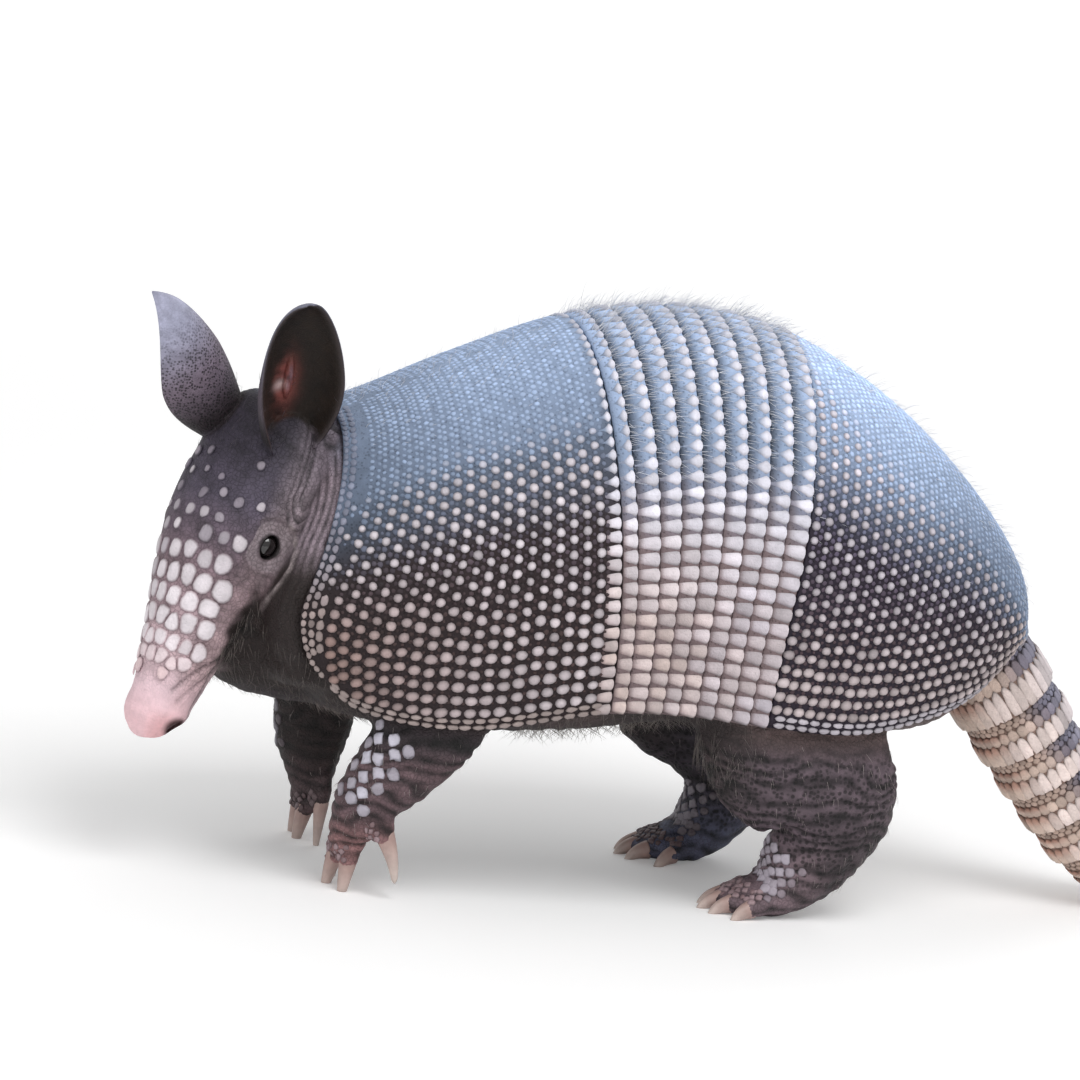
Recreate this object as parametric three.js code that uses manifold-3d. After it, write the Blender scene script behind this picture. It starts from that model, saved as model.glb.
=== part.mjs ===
// A nine-banded armadillo at life size, walking with its head down and turned a little to its left.
// Millimetres. +X is the animal's left, -Y the way it walks, +Z up, and the ground is Z = 0.
import * as THREE from "three";
import { mergeVertices } from "three/addons/utils/BufferGeometryUtils.js";
import Module from "manifold-3d";

const wasm = await Module();
wasm.setup();

// Driving dimensions
const GAP = 0.35; // between neighbouring pieces
const SHELL_THICK = 2.8;
const TRUNK_INSET = SHELL_THICK + 2.2; // from the shell's outer face
const SHELL_SIDES = 18; // facets from rim to rim
const SCAPULAR_ROWS = 7;
const PELVIC_ROWS = 7;
const BAND_COUNT = 9;
const FIRST_BAND_SHARE = 0.62; // how much of a band's width the shoulder shield leaves bare on the first
const BAND_LAP = 0.7; // how far a band's front edge lies below the shell's face
const TAIL_RING_COUNT = 12;

// The carapace is carried by three guide lines: the back, the widest line of the flank and the lower rim.
// Each station is a hoop: [back y, back z, flank x, flank y, flank z, rim x, rim y, rim z].
const HOOPS = [
  [-130, 157, 56, -146, 104, 54, -138, 77],
  [-112, 164, 63, -124, 108, 52, -119, 64],
  [-85, 178, 66, -87, 113, 55, -83, 61],
  [-49.5, 193.5, 67, -41, 118, 60, -36.5, 71],
  [-11, 200, 67, -10, 120, 60, -8.5, 72],
  [28, 194.5, 66, 21, 119, 60, 19.5, 70],
  [65, 176, 62, 58, 113, 55, 53, 68],
  [96, 151, 52, 90, 109, 45, 82, 73],
  [118, 125, 38, 111, 103, 33, 102, 80],
  [127, 100, 18, 122, 95, 16, 119, 91],
];
const SCAPULAR = [0, 3]; // hoops that each part of the carapace spans
const BANDS = [3, 5];
const PELVIC = [5, 9];
const FLANK_AT = 0.7; // share of a hoop's half that lies above the flank line
const BELLY_Z = [66, 56, 52, 55, 60, 61, 61, 62, 72, 84]; // underside of the trunk at each hoop
const TRUNK_EDGE = 0.88; // share of a hoop's half that the trunk fills before the belly turns in

// Head frame: origin between the ears, F towards the nose, N out of the forehead, L to the left
const HEAD_AT = new THREE.Vector3(5, -151, 148);
const HEAD_YAW = THREE.MathUtils.degToRad(33);
const HEAD_PITCH = THREE.MathUtils.degToRad(67.5);
const F = new THREE.Vector3(
  Math.sin(HEAD_YAW) * Math.cos(HEAD_PITCH),
  -Math.cos(HEAD_YAW) * Math.cos(HEAD_PITCH),
  -Math.sin(HEAD_PITCH),
);
const L = new THREE.Vector3(Math.cos(HEAD_YAW), Math.sin(HEAD_YAW), 0);
const N = F.clone().cross(L);

// Down the head: [along F, half width, forehead above the middle line, jaw below it]
const HEAD_STATIONS = [
  [-13, 8, 4, 14],
  [-9, 17, 10, 22],
  [2, 21.5, 15, 28],
  [18, 23.5, 18, 30],
  [36, 23.5, 19.5, 27],
  [54, 19.5, 18.5, 21],
  [70, 15, 16, 17],
  [84, 12, 13.5, 14],
  [96, 10.5, 11.5, 11],
  [103, 9.5, 10.5, 9],
  [107, 6.5, 8, 6],
];
const HEAD_SHIELD = [2.6, 8.1]; // stations that the plated brow covers
const HEAD_SHIELD_REACH = THREE.MathUtils.degToRad(60); // to each side of the middle
const HEAD_SHIELD_RISE = [0.9, 1.8]; // its inner and outer face above the skin
const EYE_RADIUS = 4.4;
const EYE_STATION = 4.1;
const EYE_AROUND = THREE.MathUtils.degToRad(76);
const NOSTRIL_RADIUS = 2;

const EAR_LENGTH = 55;
const EAR_WIDTH = 31;
const EAR_THICK = 1.6;
const EAR_APART = 12.5; // each base from the middle
const EAR_ROLL = [115, 43].map(THREE.MathUtils.degToRad); // half the arc that it is rolled to, foot and tip
const EAR_OPEN_SIDE = 0.9; // which way the cup opens: this much outwards, and this much forwards
const EAR_OPEN_FRONT = 0.43;
// How far each ear leans from the head's line to its brow, and how far it spreads to its side
const EAR_LEAN = {
  left: [43, 21].map(THREE.MathUtils.degToRad),
  right: [62, 12].map(THREE.MathUtils.degToRad),
};

// Neck, limbs and tail: [x, y, z, half width, half depth]
const NECK = [
  [0, -98, 106, 46, 44],
  [1, -122, 102, 44, 46],
  [3, -142, 101, 37, 44],
  [5, -155, 104, 28, 38],
];
const LIMBS = {
  fore_left: {
    path: [
      [38, -84, 92, 18, 20],
      [43, -90, 66, 16, 18],
      [44, -100, 49, 13, 15.5],
      [42, -109, 36, 11.5, 12],
      [39, -113.5, 25, 11.5, 10.5],
      [36, -115.5, 14, 10.5, 9],
    ],
    wrist: 2.7,
    toes: [
      [[46, -108, 28], [48.5, -104.5, 20], 4.6, 3.6],
      [[40.5, -114, 16], [41.5, -115, 8.5], 4.2, 3.3],
      [[33.5, -116, 16], [33, -117.5, 8.5], 4.2, 3.3],
      [[28, -113, 20], [26, -113.5, 13], 3.6, 2.8],
    ],
  },
  fore_right: {
    path: [
      [-34, -88, 92, 18, 20],
      [-34, -102, 68, 16, 18],
      [-32, -111, 50, 13.5, 15],
      [-30, -112, 36, 12, 13],
      [-29, -111.5, 25, 11.5, 11],
      [-28, -111, 14, 10.5, 9],
    ],
    wrist: 2.7,
    toes: [
      [[-37, -106, 26], [-40, -103, 18], 4.6, 3.6],
      [[-32, -111.5, 16], [-32.5, -112.5, 8.5], 4.2, 3.3],
      [[-25, -111.5, 16], [-24.5, -113, 8.5], 4.2, 3.3],
      [[-20, -108.5, 19], [-18, -109, 12], 3.6, 2.8],
    ],
  },
  hind_left: {
    path: [
      [34, 52, 100, 24, 30],
      [40, 36, 78, 22, 34],
      [43, 38, 60, 17, 33],
      [43, 52, 43, 15, 24],
      [41, 51, 28, 13, 18],
      [38.5, 44, 15, 12, 14],
      [37.5, 38, 8, 12, 9],
      [36.5, 30, 5.4, 11.5, 6.6],
    ],
    wrist: 3.4,
    toes: [
      [[46, 34, 6], [48.5, 26, 3.2], 4, 3.4],
      [[41.5, 31, 6], [42.5, 20.5, 3.2], 4.3, 3.4],
      [[36.5, 30, 6], [36.5, 18.5, 3.2], 4.3, 3.4],
      [[31.5, 31, 6], [30.5, 20.5, 3.2], 4.3, 3.4],
      [[27.5, 35, 6], [24.2, 28, 3.2], 3.8, 3.3],
    ],
  },
  hind_right: {
    path: [
      [-34, 48, 100, 24, 30],
      [-40, 24, 78, 21, 32],
      [-40, 22, 60, 16, 28],
      [-36, 36, 43, 14, 20],
      [-33, 43, 29, 12.5, 16],
      [-31, 36, 16, 12, 12.5],
      [-30.5, 29.5, 8, 12, 8.8],
      [-30, 21, 5.4, 11.5, 6.6],
    ],
    wrist: 3.4,
    toes: [
      [[-39, 24, 6], [-41.5, 16, 3.2], 4, 3.4],
      [[-34.5, 21, 6], [-35.5, 10.5, 3.2], 4.3, 3.4],
      [[-29.5, 20, 6], [-29.5, 8.5, 3.2], 4.3, 3.4],
      [[-24.5, 21, 6], [-23.5, 10.5, 3.2], 4.3, 3.4],
      [[-20.5, 25, 6], [-17.2, 18, 3.2], 3.8, 3.3],
    ],
  },
};
const CLAW_LENGTH = { fore: 15, hind: 9 };
const CLAW_BEND = 0.35;
const TAIL_ROOT = 0.45; // where the tail begins, in its stations
const TAIL_RING_START = 0.7; // then its rings' start and pitch, and how the pitch shortens
const TAIL_RING_PITCH = 0.65;
const TAIL_RING_SHORTER = 0.008;
const TAIL = [
  [0, 104, 98, 19],
  [0, 121, 78, 18],
  [0, 137, 58, 17],
  [0, 152, 39, 15.7],
  [-1, 168, 22.5, 14.2],
  [-3, 189, 12.6, 12.9],
  [-8, 212, 11.1, 11.5],
  [-16, 235, 9.8, 10.2],
  [-26, 257, 8.5, 8.9],
  [-38, 278, 7.2, 7.5],
  [-50, 299, 5.8, 6.1],
  [-62, 320, 4.3, 4.6],
  [-73, 341, 2.8, 3.1],
];

// Smooth value between rows of numbers, at station t
function between(rows, t) {
  const last = rows.length - 1;
  const i = Math.min(Math.max(Math.floor(t), 0), last - 1);
  const f = t - i;
  return rows[i].map((b, c) => {
    const d = rows[i + 1][c];
    const a = i > 0 ? rows[i - 1][c] : 2 * b - d;
    const e = i + 2 <= last ? rows[i + 2][c] : 2 * d - b;
    const bend = (2 * a - 5 * b + 4 * d - e) * f * f + (3 * (b - d) + e - a) * f * f * f;
    return b + 0.5 * ((d - a) * f + bend);
  });
}

// Point of the carapace's outer face: hoop k, and a from -1 at the right rim over the back to 1 at the left
function onShell(k, a) {
  const [backY, backZ, flankX, flankY, flankZ, rimX, rimY, rimZ] = between(HOOPS, k);
  const side = Math.sign(a);
  const t = Math.abs(a);
  if (t <= FLANK_AT) {
    const angle = (Math.PI / 2) * (t / FLANK_AT);
    const down = 1 - Math.cos(angle);
    const y = backY + (flankY - backY) * down;
    const z = backZ + (flankZ - backZ) * down;
    return new THREE.Vector3(side * flankX * Math.sin(angle), y, z);
  }
  const q = (t - FLANK_AT) / (1 - FLANK_AT);
  const reach = Math.hypot(rimY - flankY, rimZ - flankZ) / Math.hypot(flankY - backY, flankZ - backZ);
  const startY = (flankY - backY) * reach;
  const startZ = (flankZ - backZ) * reach;
  const y = flankY + startY * q + (rimY - flankY - startY) * q * q;
  const z = flankZ + startZ * q + (rimZ - flankZ - startZ) * q * q;
  return new THREE.Vector3(side * (flankX - (flankX - rimX) * q * q), y, z);
}

// The same point moved out of the shell by rise
function shellPoint(k, a, rise) {
  const step = 0.02;
  const k0 = Math.min(Math.max(k, step), HOOPS.length - 1 - step);
  const a0 = Math.min(Math.max(a, -1 + step), 1 - step);
  const along = onShell(k0 + step, a0).sub(onShell(k0 - step, a0));
  const around = onShell(k0, a0 + step).sub(onShell(k0, a0 - step));
  return onShell(k, a).addScaledVector(around.cross(along).normalize(), rise);
}

function meshFrom(points, faces) {
  const geometry = new THREE.BufferGeometry();
  const numbers = points.flatMap((p) => [p.x, p.y, p.z]);
  geometry.setAttribute("position", new THREE.Float32BufferAttribute(numbers, 3));
  geometry.setIndex(faces.flat());
  return geometry;
}

// Signed volume, to tell which way the faces point
function volumeOf(geometry) {
  const at = geometry.getAttribute("position");
  const index = geometry.getIndex().array;
  const [a, b, c] = [new THREE.Vector3(), new THREE.Vector3(), new THREE.Vector3()];
  let sum = 0;
  for (let i = 0; i < index.length; i += 3) {
    a.fromBufferAttribute(at, index[i]);
    b.fromBufferAttribute(at, index[i + 1]);
    c.fromBufferAttribute(at, index[i + 2]);
    sum += a.dot(b.cross(c));
  }
  return sum / 6;
}

function facingOut(geometry) {
  if (volumeOf(geometry) < 0) geometry.getIndex().array.reverse();
  return geometry;
}

// Closed body through rings of points, with a middle point on each end
function loft(rings) {
  const n = rings[0].length;
  const points = rings.flat();
  const faces = [];
  for (let i = 0; i + 1 < rings.length; i++)
    for (let j = 0; j < n; j++) {
      const [a, b] = [i * n + j, i * n + ((j + 1) % n)];
      faces.push([a, b, b + n], [a, b + n, a + n]);
    }
  [0, rings.length - 1].forEach((r, end) => {
    const middle = rings[r].reduce((sum, p) => sum.add(p), new THREE.Vector3()).divideScalar(n);
    points.push(middle);
    const m = points.length - 1;
    for (let j = 0; j < n; j++) {
      const [a, b] = [r * n + j, r * n + ((j + 1) % n)];
      faces.push(end ? [a, b, m] : [b, a, m]);
    }
  });
  return facingOut(meshFrom(points, faces));
}

// Closed plate between two faces given as point(u, v, face): face 1 is outside, and u and v run from 0 to 1
function slab(point, across, along) {
  const points = [];
  for (const face of [0, 1])
    for (let i = 0; i <= along; i++)
      for (let j = 0; j <= across; j++) points.push(point(j / across, i / along, face));
  const row = across + 1;
  const layer = row * (along + 1);
  const faces = [];
  const quad = (a, b, c, d) => faces.push([a, b, c], [a, c, d]);
  for (let i = 0; i < along; i++)
    for (let j = 0; j < across; j++) {
      const p = i * row + j;
      quad(p, p + 1, p + row + 1, p + row);
      quad(p + layer, p + layer + row, p + layer + row + 1, p + layer + 1);
    }
  for (let i = 0; i < along; i++)
    for (const p of [i * row, i * row + across]) {
      const corners = [p, p + row, p + row + layer, p + layer];
      quad(...(p === i * row ? corners : corners.reverse()));
    }
  for (let j = 0; j < across; j++)
    for (const p of [j, along * row + j]) {
      const corners = [p, p + layer, p + layer + 1, p + 1];
      quad(...(p === j ? corners : corners.reverse()));
    }
  return facingOut(meshFrom(points, faces));
}

// Unit vector along a path at station t
function headingAt(stations, t) {
  const reach = 0.05;
  const ahead = between(stations, Math.min(t + reach, stations.length - 1));
  const behind = between(stations, Math.max(t - reach, 0));
  return new THREE.Vector3(...ahead).sub(new THREE.Vector3(...behind)).normalize();
}

// Tube along stations of [x, y, z, half width, half depth], or one radius. Its width lies along X, and flare
// is the share by which it narrows at its start and widens at its end.
function tube(stations, sides, rows, { from = 0, to = stations.length - 1, flare = 0 } = {}) {
  const side = new THREE.Vector3(1, 0, 0);
  const rings = [];
  for (let i = 0; i <= rows; i++) {
    const t = from + ((to - from) * i) / rows;
    const [x, y, z, width, depth = width] = between(stations, t);
    const forward = headingAt(stations, t);
    const across = side.clone().addScaledVector(forward, -side.dot(forward)).normalize();
    const deep = forward.cross(across);
    const size = 1 + flare * ((2 * i) / rows - 1);
    const ring = [];
    for (let j = 0; j < sides; j++) {
      const angle = (2 * Math.PI * (j + 0.5)) / sides;
      const p = new THREE.Vector3(x, y, z).addScaledVector(across, size * width * Math.cos(angle));
      ring.push(p.addScaledVector(deep, size * depth * Math.sin(angle)));
    }
    rings.push(ring);
  }
  return loft(rings);
}

// Joining and cutting
function solid(geometry) {
  const bare = geometry.clone();
  for (const name of Object.keys(bare.attributes)) if (name !== "position") bare.deleteAttribute(name);
  const merged = mergeVertices(bare, 1e-4);
  return new wasm.Manifold(
    new wasm.Mesh({
      numProp: 3,
      vertProperties: merged.attributes.position.array,
      triVerts: new Uint32Array(merged.index.array),
    }),
  );
}

function geometryOf(body) {
  const mesh = body.getMesh();
  const geometry = new THREE.BufferGeometry();
  geometry.setAttribute("position", new THREE.BufferAttribute(new Float32Array(mesh.vertProperties), 3));
  geometry.setIndex(new THREE.BufferAttribute(new Uint32Array(mesh.triVerts), 1));
  return geometry;
}

const largest = (body) => body.decompose().sort((p, q) => q.volume() - p.volume())[0];
const SLIVER = 0.04; // cuts leave no faces thinner than this
const joined = (...shapes) => geometryOf(shapes.map(solid).reduce((sum, s) => sum.add(s)));
const cut = (shape, ...tools) => {
  const rest = tools.reduce((sum, tool) => sum.subtract(solid(tool)), solid(shape));
  return geometryOf(largest(rest).asOriginal().simplify(SLIVER));
};

const FAR = 1000;
const floorBlock = new THREE.BoxGeometry(FAR, FAR, 100).translate(0, 0, -50);

// The two sides of a thin cut across a body: first the one the normal points away from
function parted(shape, point, normal) {
  const turn = new THREE.Quaternion().setFromUnitVectors(new THREE.Vector3(0, 0, 1), normal);
  return [1, -1].map((side) => {
    const block = new THREE.BoxGeometry(FAR, FAR, FAR).translate(0, 0, side * (FAR / 2 - GAP / 2));
    block.applyQuaternion(turn).translate(point.x, point.y, point.z);
    return cut(shape, block);
  });
}

// Looks
const look = (color, roughness) => new THREE.MeshStandardMaterial({ color, roughness, metalness: 0 });
const shellLook = look(0x8f8a92, 0.55);
const bandLook = look(0xb9aeb0, 0.55);
const headShieldLook = look(0xc9bcc0, 0.6);
const skinLook = look(0x5d4c4d, 0.8);
const noseLook = look(0x9a7f80, 0.7);
const earLook = look(0x5a4a50, 0.75);
const tailLook = look(0xb59a8c, 0.65);
const clawLook = look(0xb9a08e, 0.4);
const eyeLook = look(0x120e0e, 0.08);

const armadillo = new THREE.Group();
armadillo.name = "armadillo";

function addPiece(name, geometry, material) {
  const mesh = new THREE.Mesh(geometry, material);
  mesh.name = name;
  armadillo.add(mesh);
  return mesh;
}

// Carapace
const bandWidth = (BANDS[1] - BANDS[0]) / (BAND_COUNT - 1 + FIRST_BAND_SHARE);
const bandEdge = (i) => (i === 0 ? BANDS[0] : BANDS[0] + (i - 1 + FIRST_BAND_SHARE) * bandWidth);

// Rows of facets: each shield has its own count, and every band has one
function shellRows() {
  const spread = ([from, to], rows) => [...Array(rows).keys()].map((i) => from + ((to - from) * i) / rows);
  const bands = [...Array(BAND_COUNT).keys()].map(bandEdge);
  return [...spread(SCAPULAR, SCAPULAR_ROWS), ...bands, ...spread(PELVIC, PELVIC_ROWS), PELVIC[1]];
}

function shellPlate(k0, k1, rows, rise) {
  return slab(
    (u, v, face) => shellPoint(k0 + (k1 - k0) * v, 2 * u - 1, face ? rise(v) : -SHELL_THICK),
    SHELL_SIDES,
    rows,
  );
}

function addCarapace() {
  const slit = 0.006; // half the joint between two plates, in hoops
  const flat = () => 0;
  addPiece("scapular_shield", shellPlate(SCAPULAR[0], SCAPULAR[1] - slit, SCAPULAR_ROWS, flat), shellLook);
  const lapped = (v) => -BAND_LAP + (BAND_LAP + 0.4) * v; // each band's rear edge stands over the next one
  for (let i = 0; i < BAND_COUNT; i++)
    addPiece(`band_${i + 1}`, shellPlate(bandEdge(i) + slit, bandEdge(i + 1) - slit, 1, lapped), bandLook);
  addPiece("pelvic_shield", shellPlate(PELVIC[0] + slit, PELVIC[1], PELVIC_ROWS, flat), shellLook);
}

// The carapace with a gap round it, on the same facets, to cut what lies against it
function shellCutter() {
  const beyond = 1.006; // past each rim
  const rows = [SCAPULAR[0] - 0.03, ...shellRows(), PELVIC[1] + 0.15];
  return slab(
    (u, v, face) => {
      const k = rows[Math.round(v * (rows.length - 1))];
      return shellPoint(k, beyond * (2 * u - 1), face ? 8 : -SHELL_THICK - GAP);
    },
    SHELL_SIDES,
    rows.length - 1,
  );
}

// Trunk: follows the carapace inside, and closes under it with the belly
function trunkShape(grow) {
  const [first, last, count] = [0.5, 8.5, 10];
  const upper = 14;
  const lower = 6;
  const rings = [];
  for (let i = 0; i <= count; i++) {
    const k = first + ((last - first) * i) / count;
    const [belly] = between(BELLY_Z.map((z) => [z]), k);
    const ring = [];
    for (let j = 0; j <= upper; j++)
      ring.push(shellPoint(k, TRUNK_EDGE * ((2 * j) / upper - 1), grow - TRUNK_INSET));
    const left = ring[upper];
    const right = ring[0];
    for (let j = 1; j < lower; j++) {
      const angle = (Math.PI * j) / lower;
      const share = (1 - Math.cos(angle)) / 2;
      const p = left.clone().lerp(right, share);
      p.z = left.z - (left.z - belly + grow) * Math.sin(angle) ** 0.7;
      ring.push(p);
    }
    rings.push(ring);
  }
  return loft(rings);
}

// Head
const inHead = (along, left, out) =>
  HEAD_AT.clone().addScaledVector(F, along).addScaledVector(L, left).addScaledVector(N, out);

// Point of the head's skin moved out by rise: angle 0 is the brow, and positive angles are to the left
function headPoint(station, angle, rise) {
  const [along, width, up, down] = between(HEAD_STATIONS, station);
  const out = Math.cos(angle);
  return inHead(along, (width + rise) * Math.sin(angle), ((out > 0 ? up : down) + rise) * out);
}

function headShape(grow) {
  const sides = 18;
  const rows = 14;
  const rings = [];
  for (let i = 0; i <= rows; i++) {
    const station = ((HEAD_STATIONS.length - 1) * i) / rows;
    const ring = [];
    for (let j = 0; j < sides; j++) ring.push(headPoint(station, (2 * Math.PI * (j + 0.5)) / sides, grow));
    rings.push(ring);
  }
  for (const p of rings[0]) p.addScaledVector(F, -grow);
  for (const p of rings[rows]) p.addScaledVector(F, grow);
  return loft(rings);
}

const eyeAt = (side) => headPoint(EYE_STATION, side * EYE_AROUND, -0.78 * EYE_RADIUS);

// Half the ear's width at v, from its foot at 0 to its tip at 1
function earHalfWidth(v) {
  const swell = 0.62 + 0.38 * Math.sin(Math.PI * Math.min(1.1 * v, 0.5));
  const towardsTip = Math.max((v - 0.4) / 0.605, 0);
  return (EAR_WIDTH / 2) * swell * Math.max(1 - towardsTip ** 2.1, 0) ** 0.62;
}

// An ear is a leaf rolled into a cup: nearly closed at its foot, open and almost flat at its tip
function earShape(side, [back, spread]) {
  const lean = F.clone().multiplyScalar(-Math.cos(back)).addScaledVector(N, Math.sin(back));
  const axis = lean.multiplyScalar(Math.cos(spread)).addScaledVector(L, side * Math.sin(spread));
  const open = L.clone().multiplyScalar(side * EAR_OPEN_SIDE).addScaledVector(N, EAR_OPEN_FRONT);
  open.addScaledVector(axis, -open.dot(axis)).normalize();
  const across = axis.clone().cross(open);
  const foot = inHead(0, side * EAR_APART, 8);
  const leaf = (u, v, face) => {
    const half = earHalfWidth(v);
    const roll = THREE.MathUtils.lerp(EAR_ROLL[0], EAR_ROLL[1], v);
    const inner = face ? 0 : EAR_THICK;
    const radius = Math.max(half / Math.sin(Math.min(roll, Math.PI / 2)) - inner, 0.05);
    const angle = roll * (2 * u - 1);
    const p = foot.clone().addScaledVector(axis, (EAR_LENGTH - inner) * v);
    p.addScaledVector(across, radius * Math.sin(angle));
    return p.addScaledVector(open, half / 2 - radius * Math.cos(angle));
  };
  return slab(leaf, 6, 6);
}

function headShieldShape() {
  const [first, last] = HEAD_SHIELD;
  const at = (u, v, face) => {
    const angle = HEAD_SHIELD_REACH * (2 * u - 1);
    return headPoint(first + (last - first) * v, angle, HEAD_SHIELD_RISE[face]);
  };
  return slab(at, 6, 8);
}

function addHead() {
  const ball = (p, radius, columns, rows) =>
    new THREE.SphereGeometry(radius, columns, rows).translate(p.x, p.y, p.z);
  const hollows = [1, -1].flatMap((side) => [
    ball(eyeAt(side), EYE_RADIUS + GAP, 10, 6),
    ball(inHead(108, side * 4.2, 1.5), NOSTRIL_RADIUS, 6, 4),
  ]);
  addPiece("head", cut(headShape(0), ...hollows), noseLook);
  addPiece("head_shield", headShieldShape(), headShieldLook);
  for (const [side, name] of [[1, "left"], [-1, "right"]]) {
    const eye = addPiece(`eye_${name}`, new THREE.SphereGeometry(EYE_RADIUS, 10, 6), eyeLook);
    eye.position.copy(eyeAt(side));
    addPiece(`ear_${name}`, cut(earShape(side, EAR_LEAN[name]), headShape(GAP)), earLook);
  }
}

// Limbs: each is made whole, down to the toes, then freed from the trunk and parted at the wrist or ankle
function toeShape([from, to, wide, narrow]) {
  const middle = from.map((value, i) => (value + to[i]) / 2);
  return tube([[...from, wide], [...middle, wide], [...to, narrow]], 6, 2);
}

// A claw carries on from its toe and bends down to the ground
function clawShape([from, to, , narrow], length) {
  const ahead = new THREE.Vector3(...to).sub(new THREE.Vector3(...from)).normalize();
  const root = new THREE.Vector3(...to).addScaledVector(ahead, GAP);
  const stations = [0, 0.35, 0.7, 1].map((v) => {
    const p = root.clone().addScaledVector(ahead, length * v * (1 - CLAW_BEND * v));
    return [p.x, p.y, p.z - length * CLAW_BEND * v * v, narrow * (0.86 - 0.62 * v)];
  });
  return tube(stations, 6, 3);
}

function addLimbs(body) {
  for (const [name, limb] of Object.entries(LIMBS)) {
    const [end, side] = name.split("_");
    const whole = joined(tube(limb.path, 10, limb.path.length - 1), ...limb.toes.map(toeShape));
    const free = cut(whole, ...body, floorBlock);
    const wrist = new THREE.Vector3(...between(limb.path, limb.wrist));
    const [leg, foot] = parted(free, wrist, headingAt(limb.path, limb.wrist));
    addPiece(`${end}leg_${side}`, leg, skinLook);
    addPiece(`${end}foot_${side}`, foot, skinLook);
    limb.toes.forEach((toe, i) => {
      const claw = cut(clawShape(toe, CLAW_LENGTH[end]), floorBlock);
      addPiece(`${end}claw_${side}_${i + 1}`, claw, clawLook);
    });
  }
}

// Tail: rings of armour, each a little wider at its rear edge than the next one's front, then the tip
function addTail(body) {
  const edge = (i) => TAIL_RING_START + TAIL_RING_PITCH * (i - TAIL_RING_SHORTER * i * i);
  const slit = 0.015; // the joint between two rings, in stations
  for (let i = 0; i < TAIL_RING_COUNT; i++) {
    const span = { from: i === 0 ? TAIL_ROOT : edge(i), to: edge(i + 1) - slit, flare: 0.03 };
    const ring = tube(TAIL, 12, i === 0 ? 2 : 1, span);
    addPiece(`tail_ring_${i + 1}`, cut(ring, ...body, floorBlock), tailLook);
  }
  const tip = tube(TAIL, 12, 5, { from: edge(TAIL_RING_COUNT) });
  addPiece("tail_tip", cut(tip, floorBlock), tailLook);
}

addPiece("trunk", cut(trunkShape(0), shellCutter()), skinLook);
addCarapace();
addHead();
const body = [trunkShape(GAP), shellCutter()];
addPiece("neck", cut(tube(NECK, 16, 3), ...body, headShape(GAP)), skinLook);
addLimbs(body);
addTail(body);

// The origin is under the middle of the whole animal, on the ground
armadillo.updateMatrixWorld(true);
const extent = new THREE.Box3().setFromObject(armadillo, true);
const middle = extent.getCenter(new THREE.Vector3());
armadillo.position.set(-middle.x, -middle.y, -extent.min.z);

export default armadillo;
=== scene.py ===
"""A nine-banded armadillo, life size, dressed over its CAD solids."""

import math

import bmesh
import bpy
import numpy as np
from mathutils import Matrix, Vector, kdtree
from mathutils.bvhtree import BVHTree


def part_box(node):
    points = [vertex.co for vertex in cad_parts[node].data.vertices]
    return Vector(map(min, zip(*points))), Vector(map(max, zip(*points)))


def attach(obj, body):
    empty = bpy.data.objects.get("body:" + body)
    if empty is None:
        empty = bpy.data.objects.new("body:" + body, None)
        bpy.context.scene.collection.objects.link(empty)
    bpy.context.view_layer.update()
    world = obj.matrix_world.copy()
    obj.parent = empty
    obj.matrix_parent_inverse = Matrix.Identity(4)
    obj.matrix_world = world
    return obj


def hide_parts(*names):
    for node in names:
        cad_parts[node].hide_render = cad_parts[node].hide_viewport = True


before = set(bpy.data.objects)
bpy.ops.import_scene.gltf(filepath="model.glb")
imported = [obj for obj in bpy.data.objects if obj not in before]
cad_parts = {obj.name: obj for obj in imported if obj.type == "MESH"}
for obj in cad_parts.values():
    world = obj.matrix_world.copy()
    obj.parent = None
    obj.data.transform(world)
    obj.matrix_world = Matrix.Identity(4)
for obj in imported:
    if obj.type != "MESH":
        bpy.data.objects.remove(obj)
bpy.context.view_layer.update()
rng = np.random.default_rng(9)

# ---------------------------------------------------------------- the body's measures, in mm
# x to its left, y to its tail, z up, and the floor at 0
# Each hoop of the shell: back y, z; flank x, y, z; rim x, y, z
HOOPS = np.array([
    [-130, 157, 56, -146, 104, 54, -138, 77], [-112, 164, 63, -124, 108, 52, -119, 64],
    [-85, 178, 66, -87, 113, 55, -83, 61], [-49.5, 193.5, 67, -41, 118, 60, -36.5, 71],
    [-11, 200, 67, -10, 120, 60, -8.5, 72], [28, 194.5, 66, 21, 119, 60, 19.5, 70],
    [65, 176, 62, 58, 113, 55, 53, 68], [96, 151, 52, 90, 109, 45, 82, 73],
    [118, 125, 38, 111, 103, 33, 102, 80], [127, 100, 18, 122, 95, 16, 119, 91],
])
SCAPULAR, BANDS, PELVIC = (0, 3), (3, 5), (5, 9)
LAST_HOOP = 9
FLANK_AT = 0.7
SHELL_THICK = 2.8
BAND_COUNT = 9
FIRST_BAND_SHARE = 0.62
SLIT = 0.006
BELLY_Z = np.array([66, 56, 52, 55, 60, 61, 61, 62, 72, 84.0])[:, None]
TRUNK_EDGE = 0.88
HEAD_AT = np.array([5, -151, 148.0])
YAW, PITCH = math.radians(33), math.radians(67.5)
# The head's own axes: forward to the nose, to its left, and out of its brow
F = np.array([math.sin(YAW) * math.cos(PITCH), -math.cos(YAW) * math.cos(PITCH), -math.sin(PITCH)])
L = np.array([math.cos(YAW), math.sin(YAW), 0.0])
N = np.cross(F, L)
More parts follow.
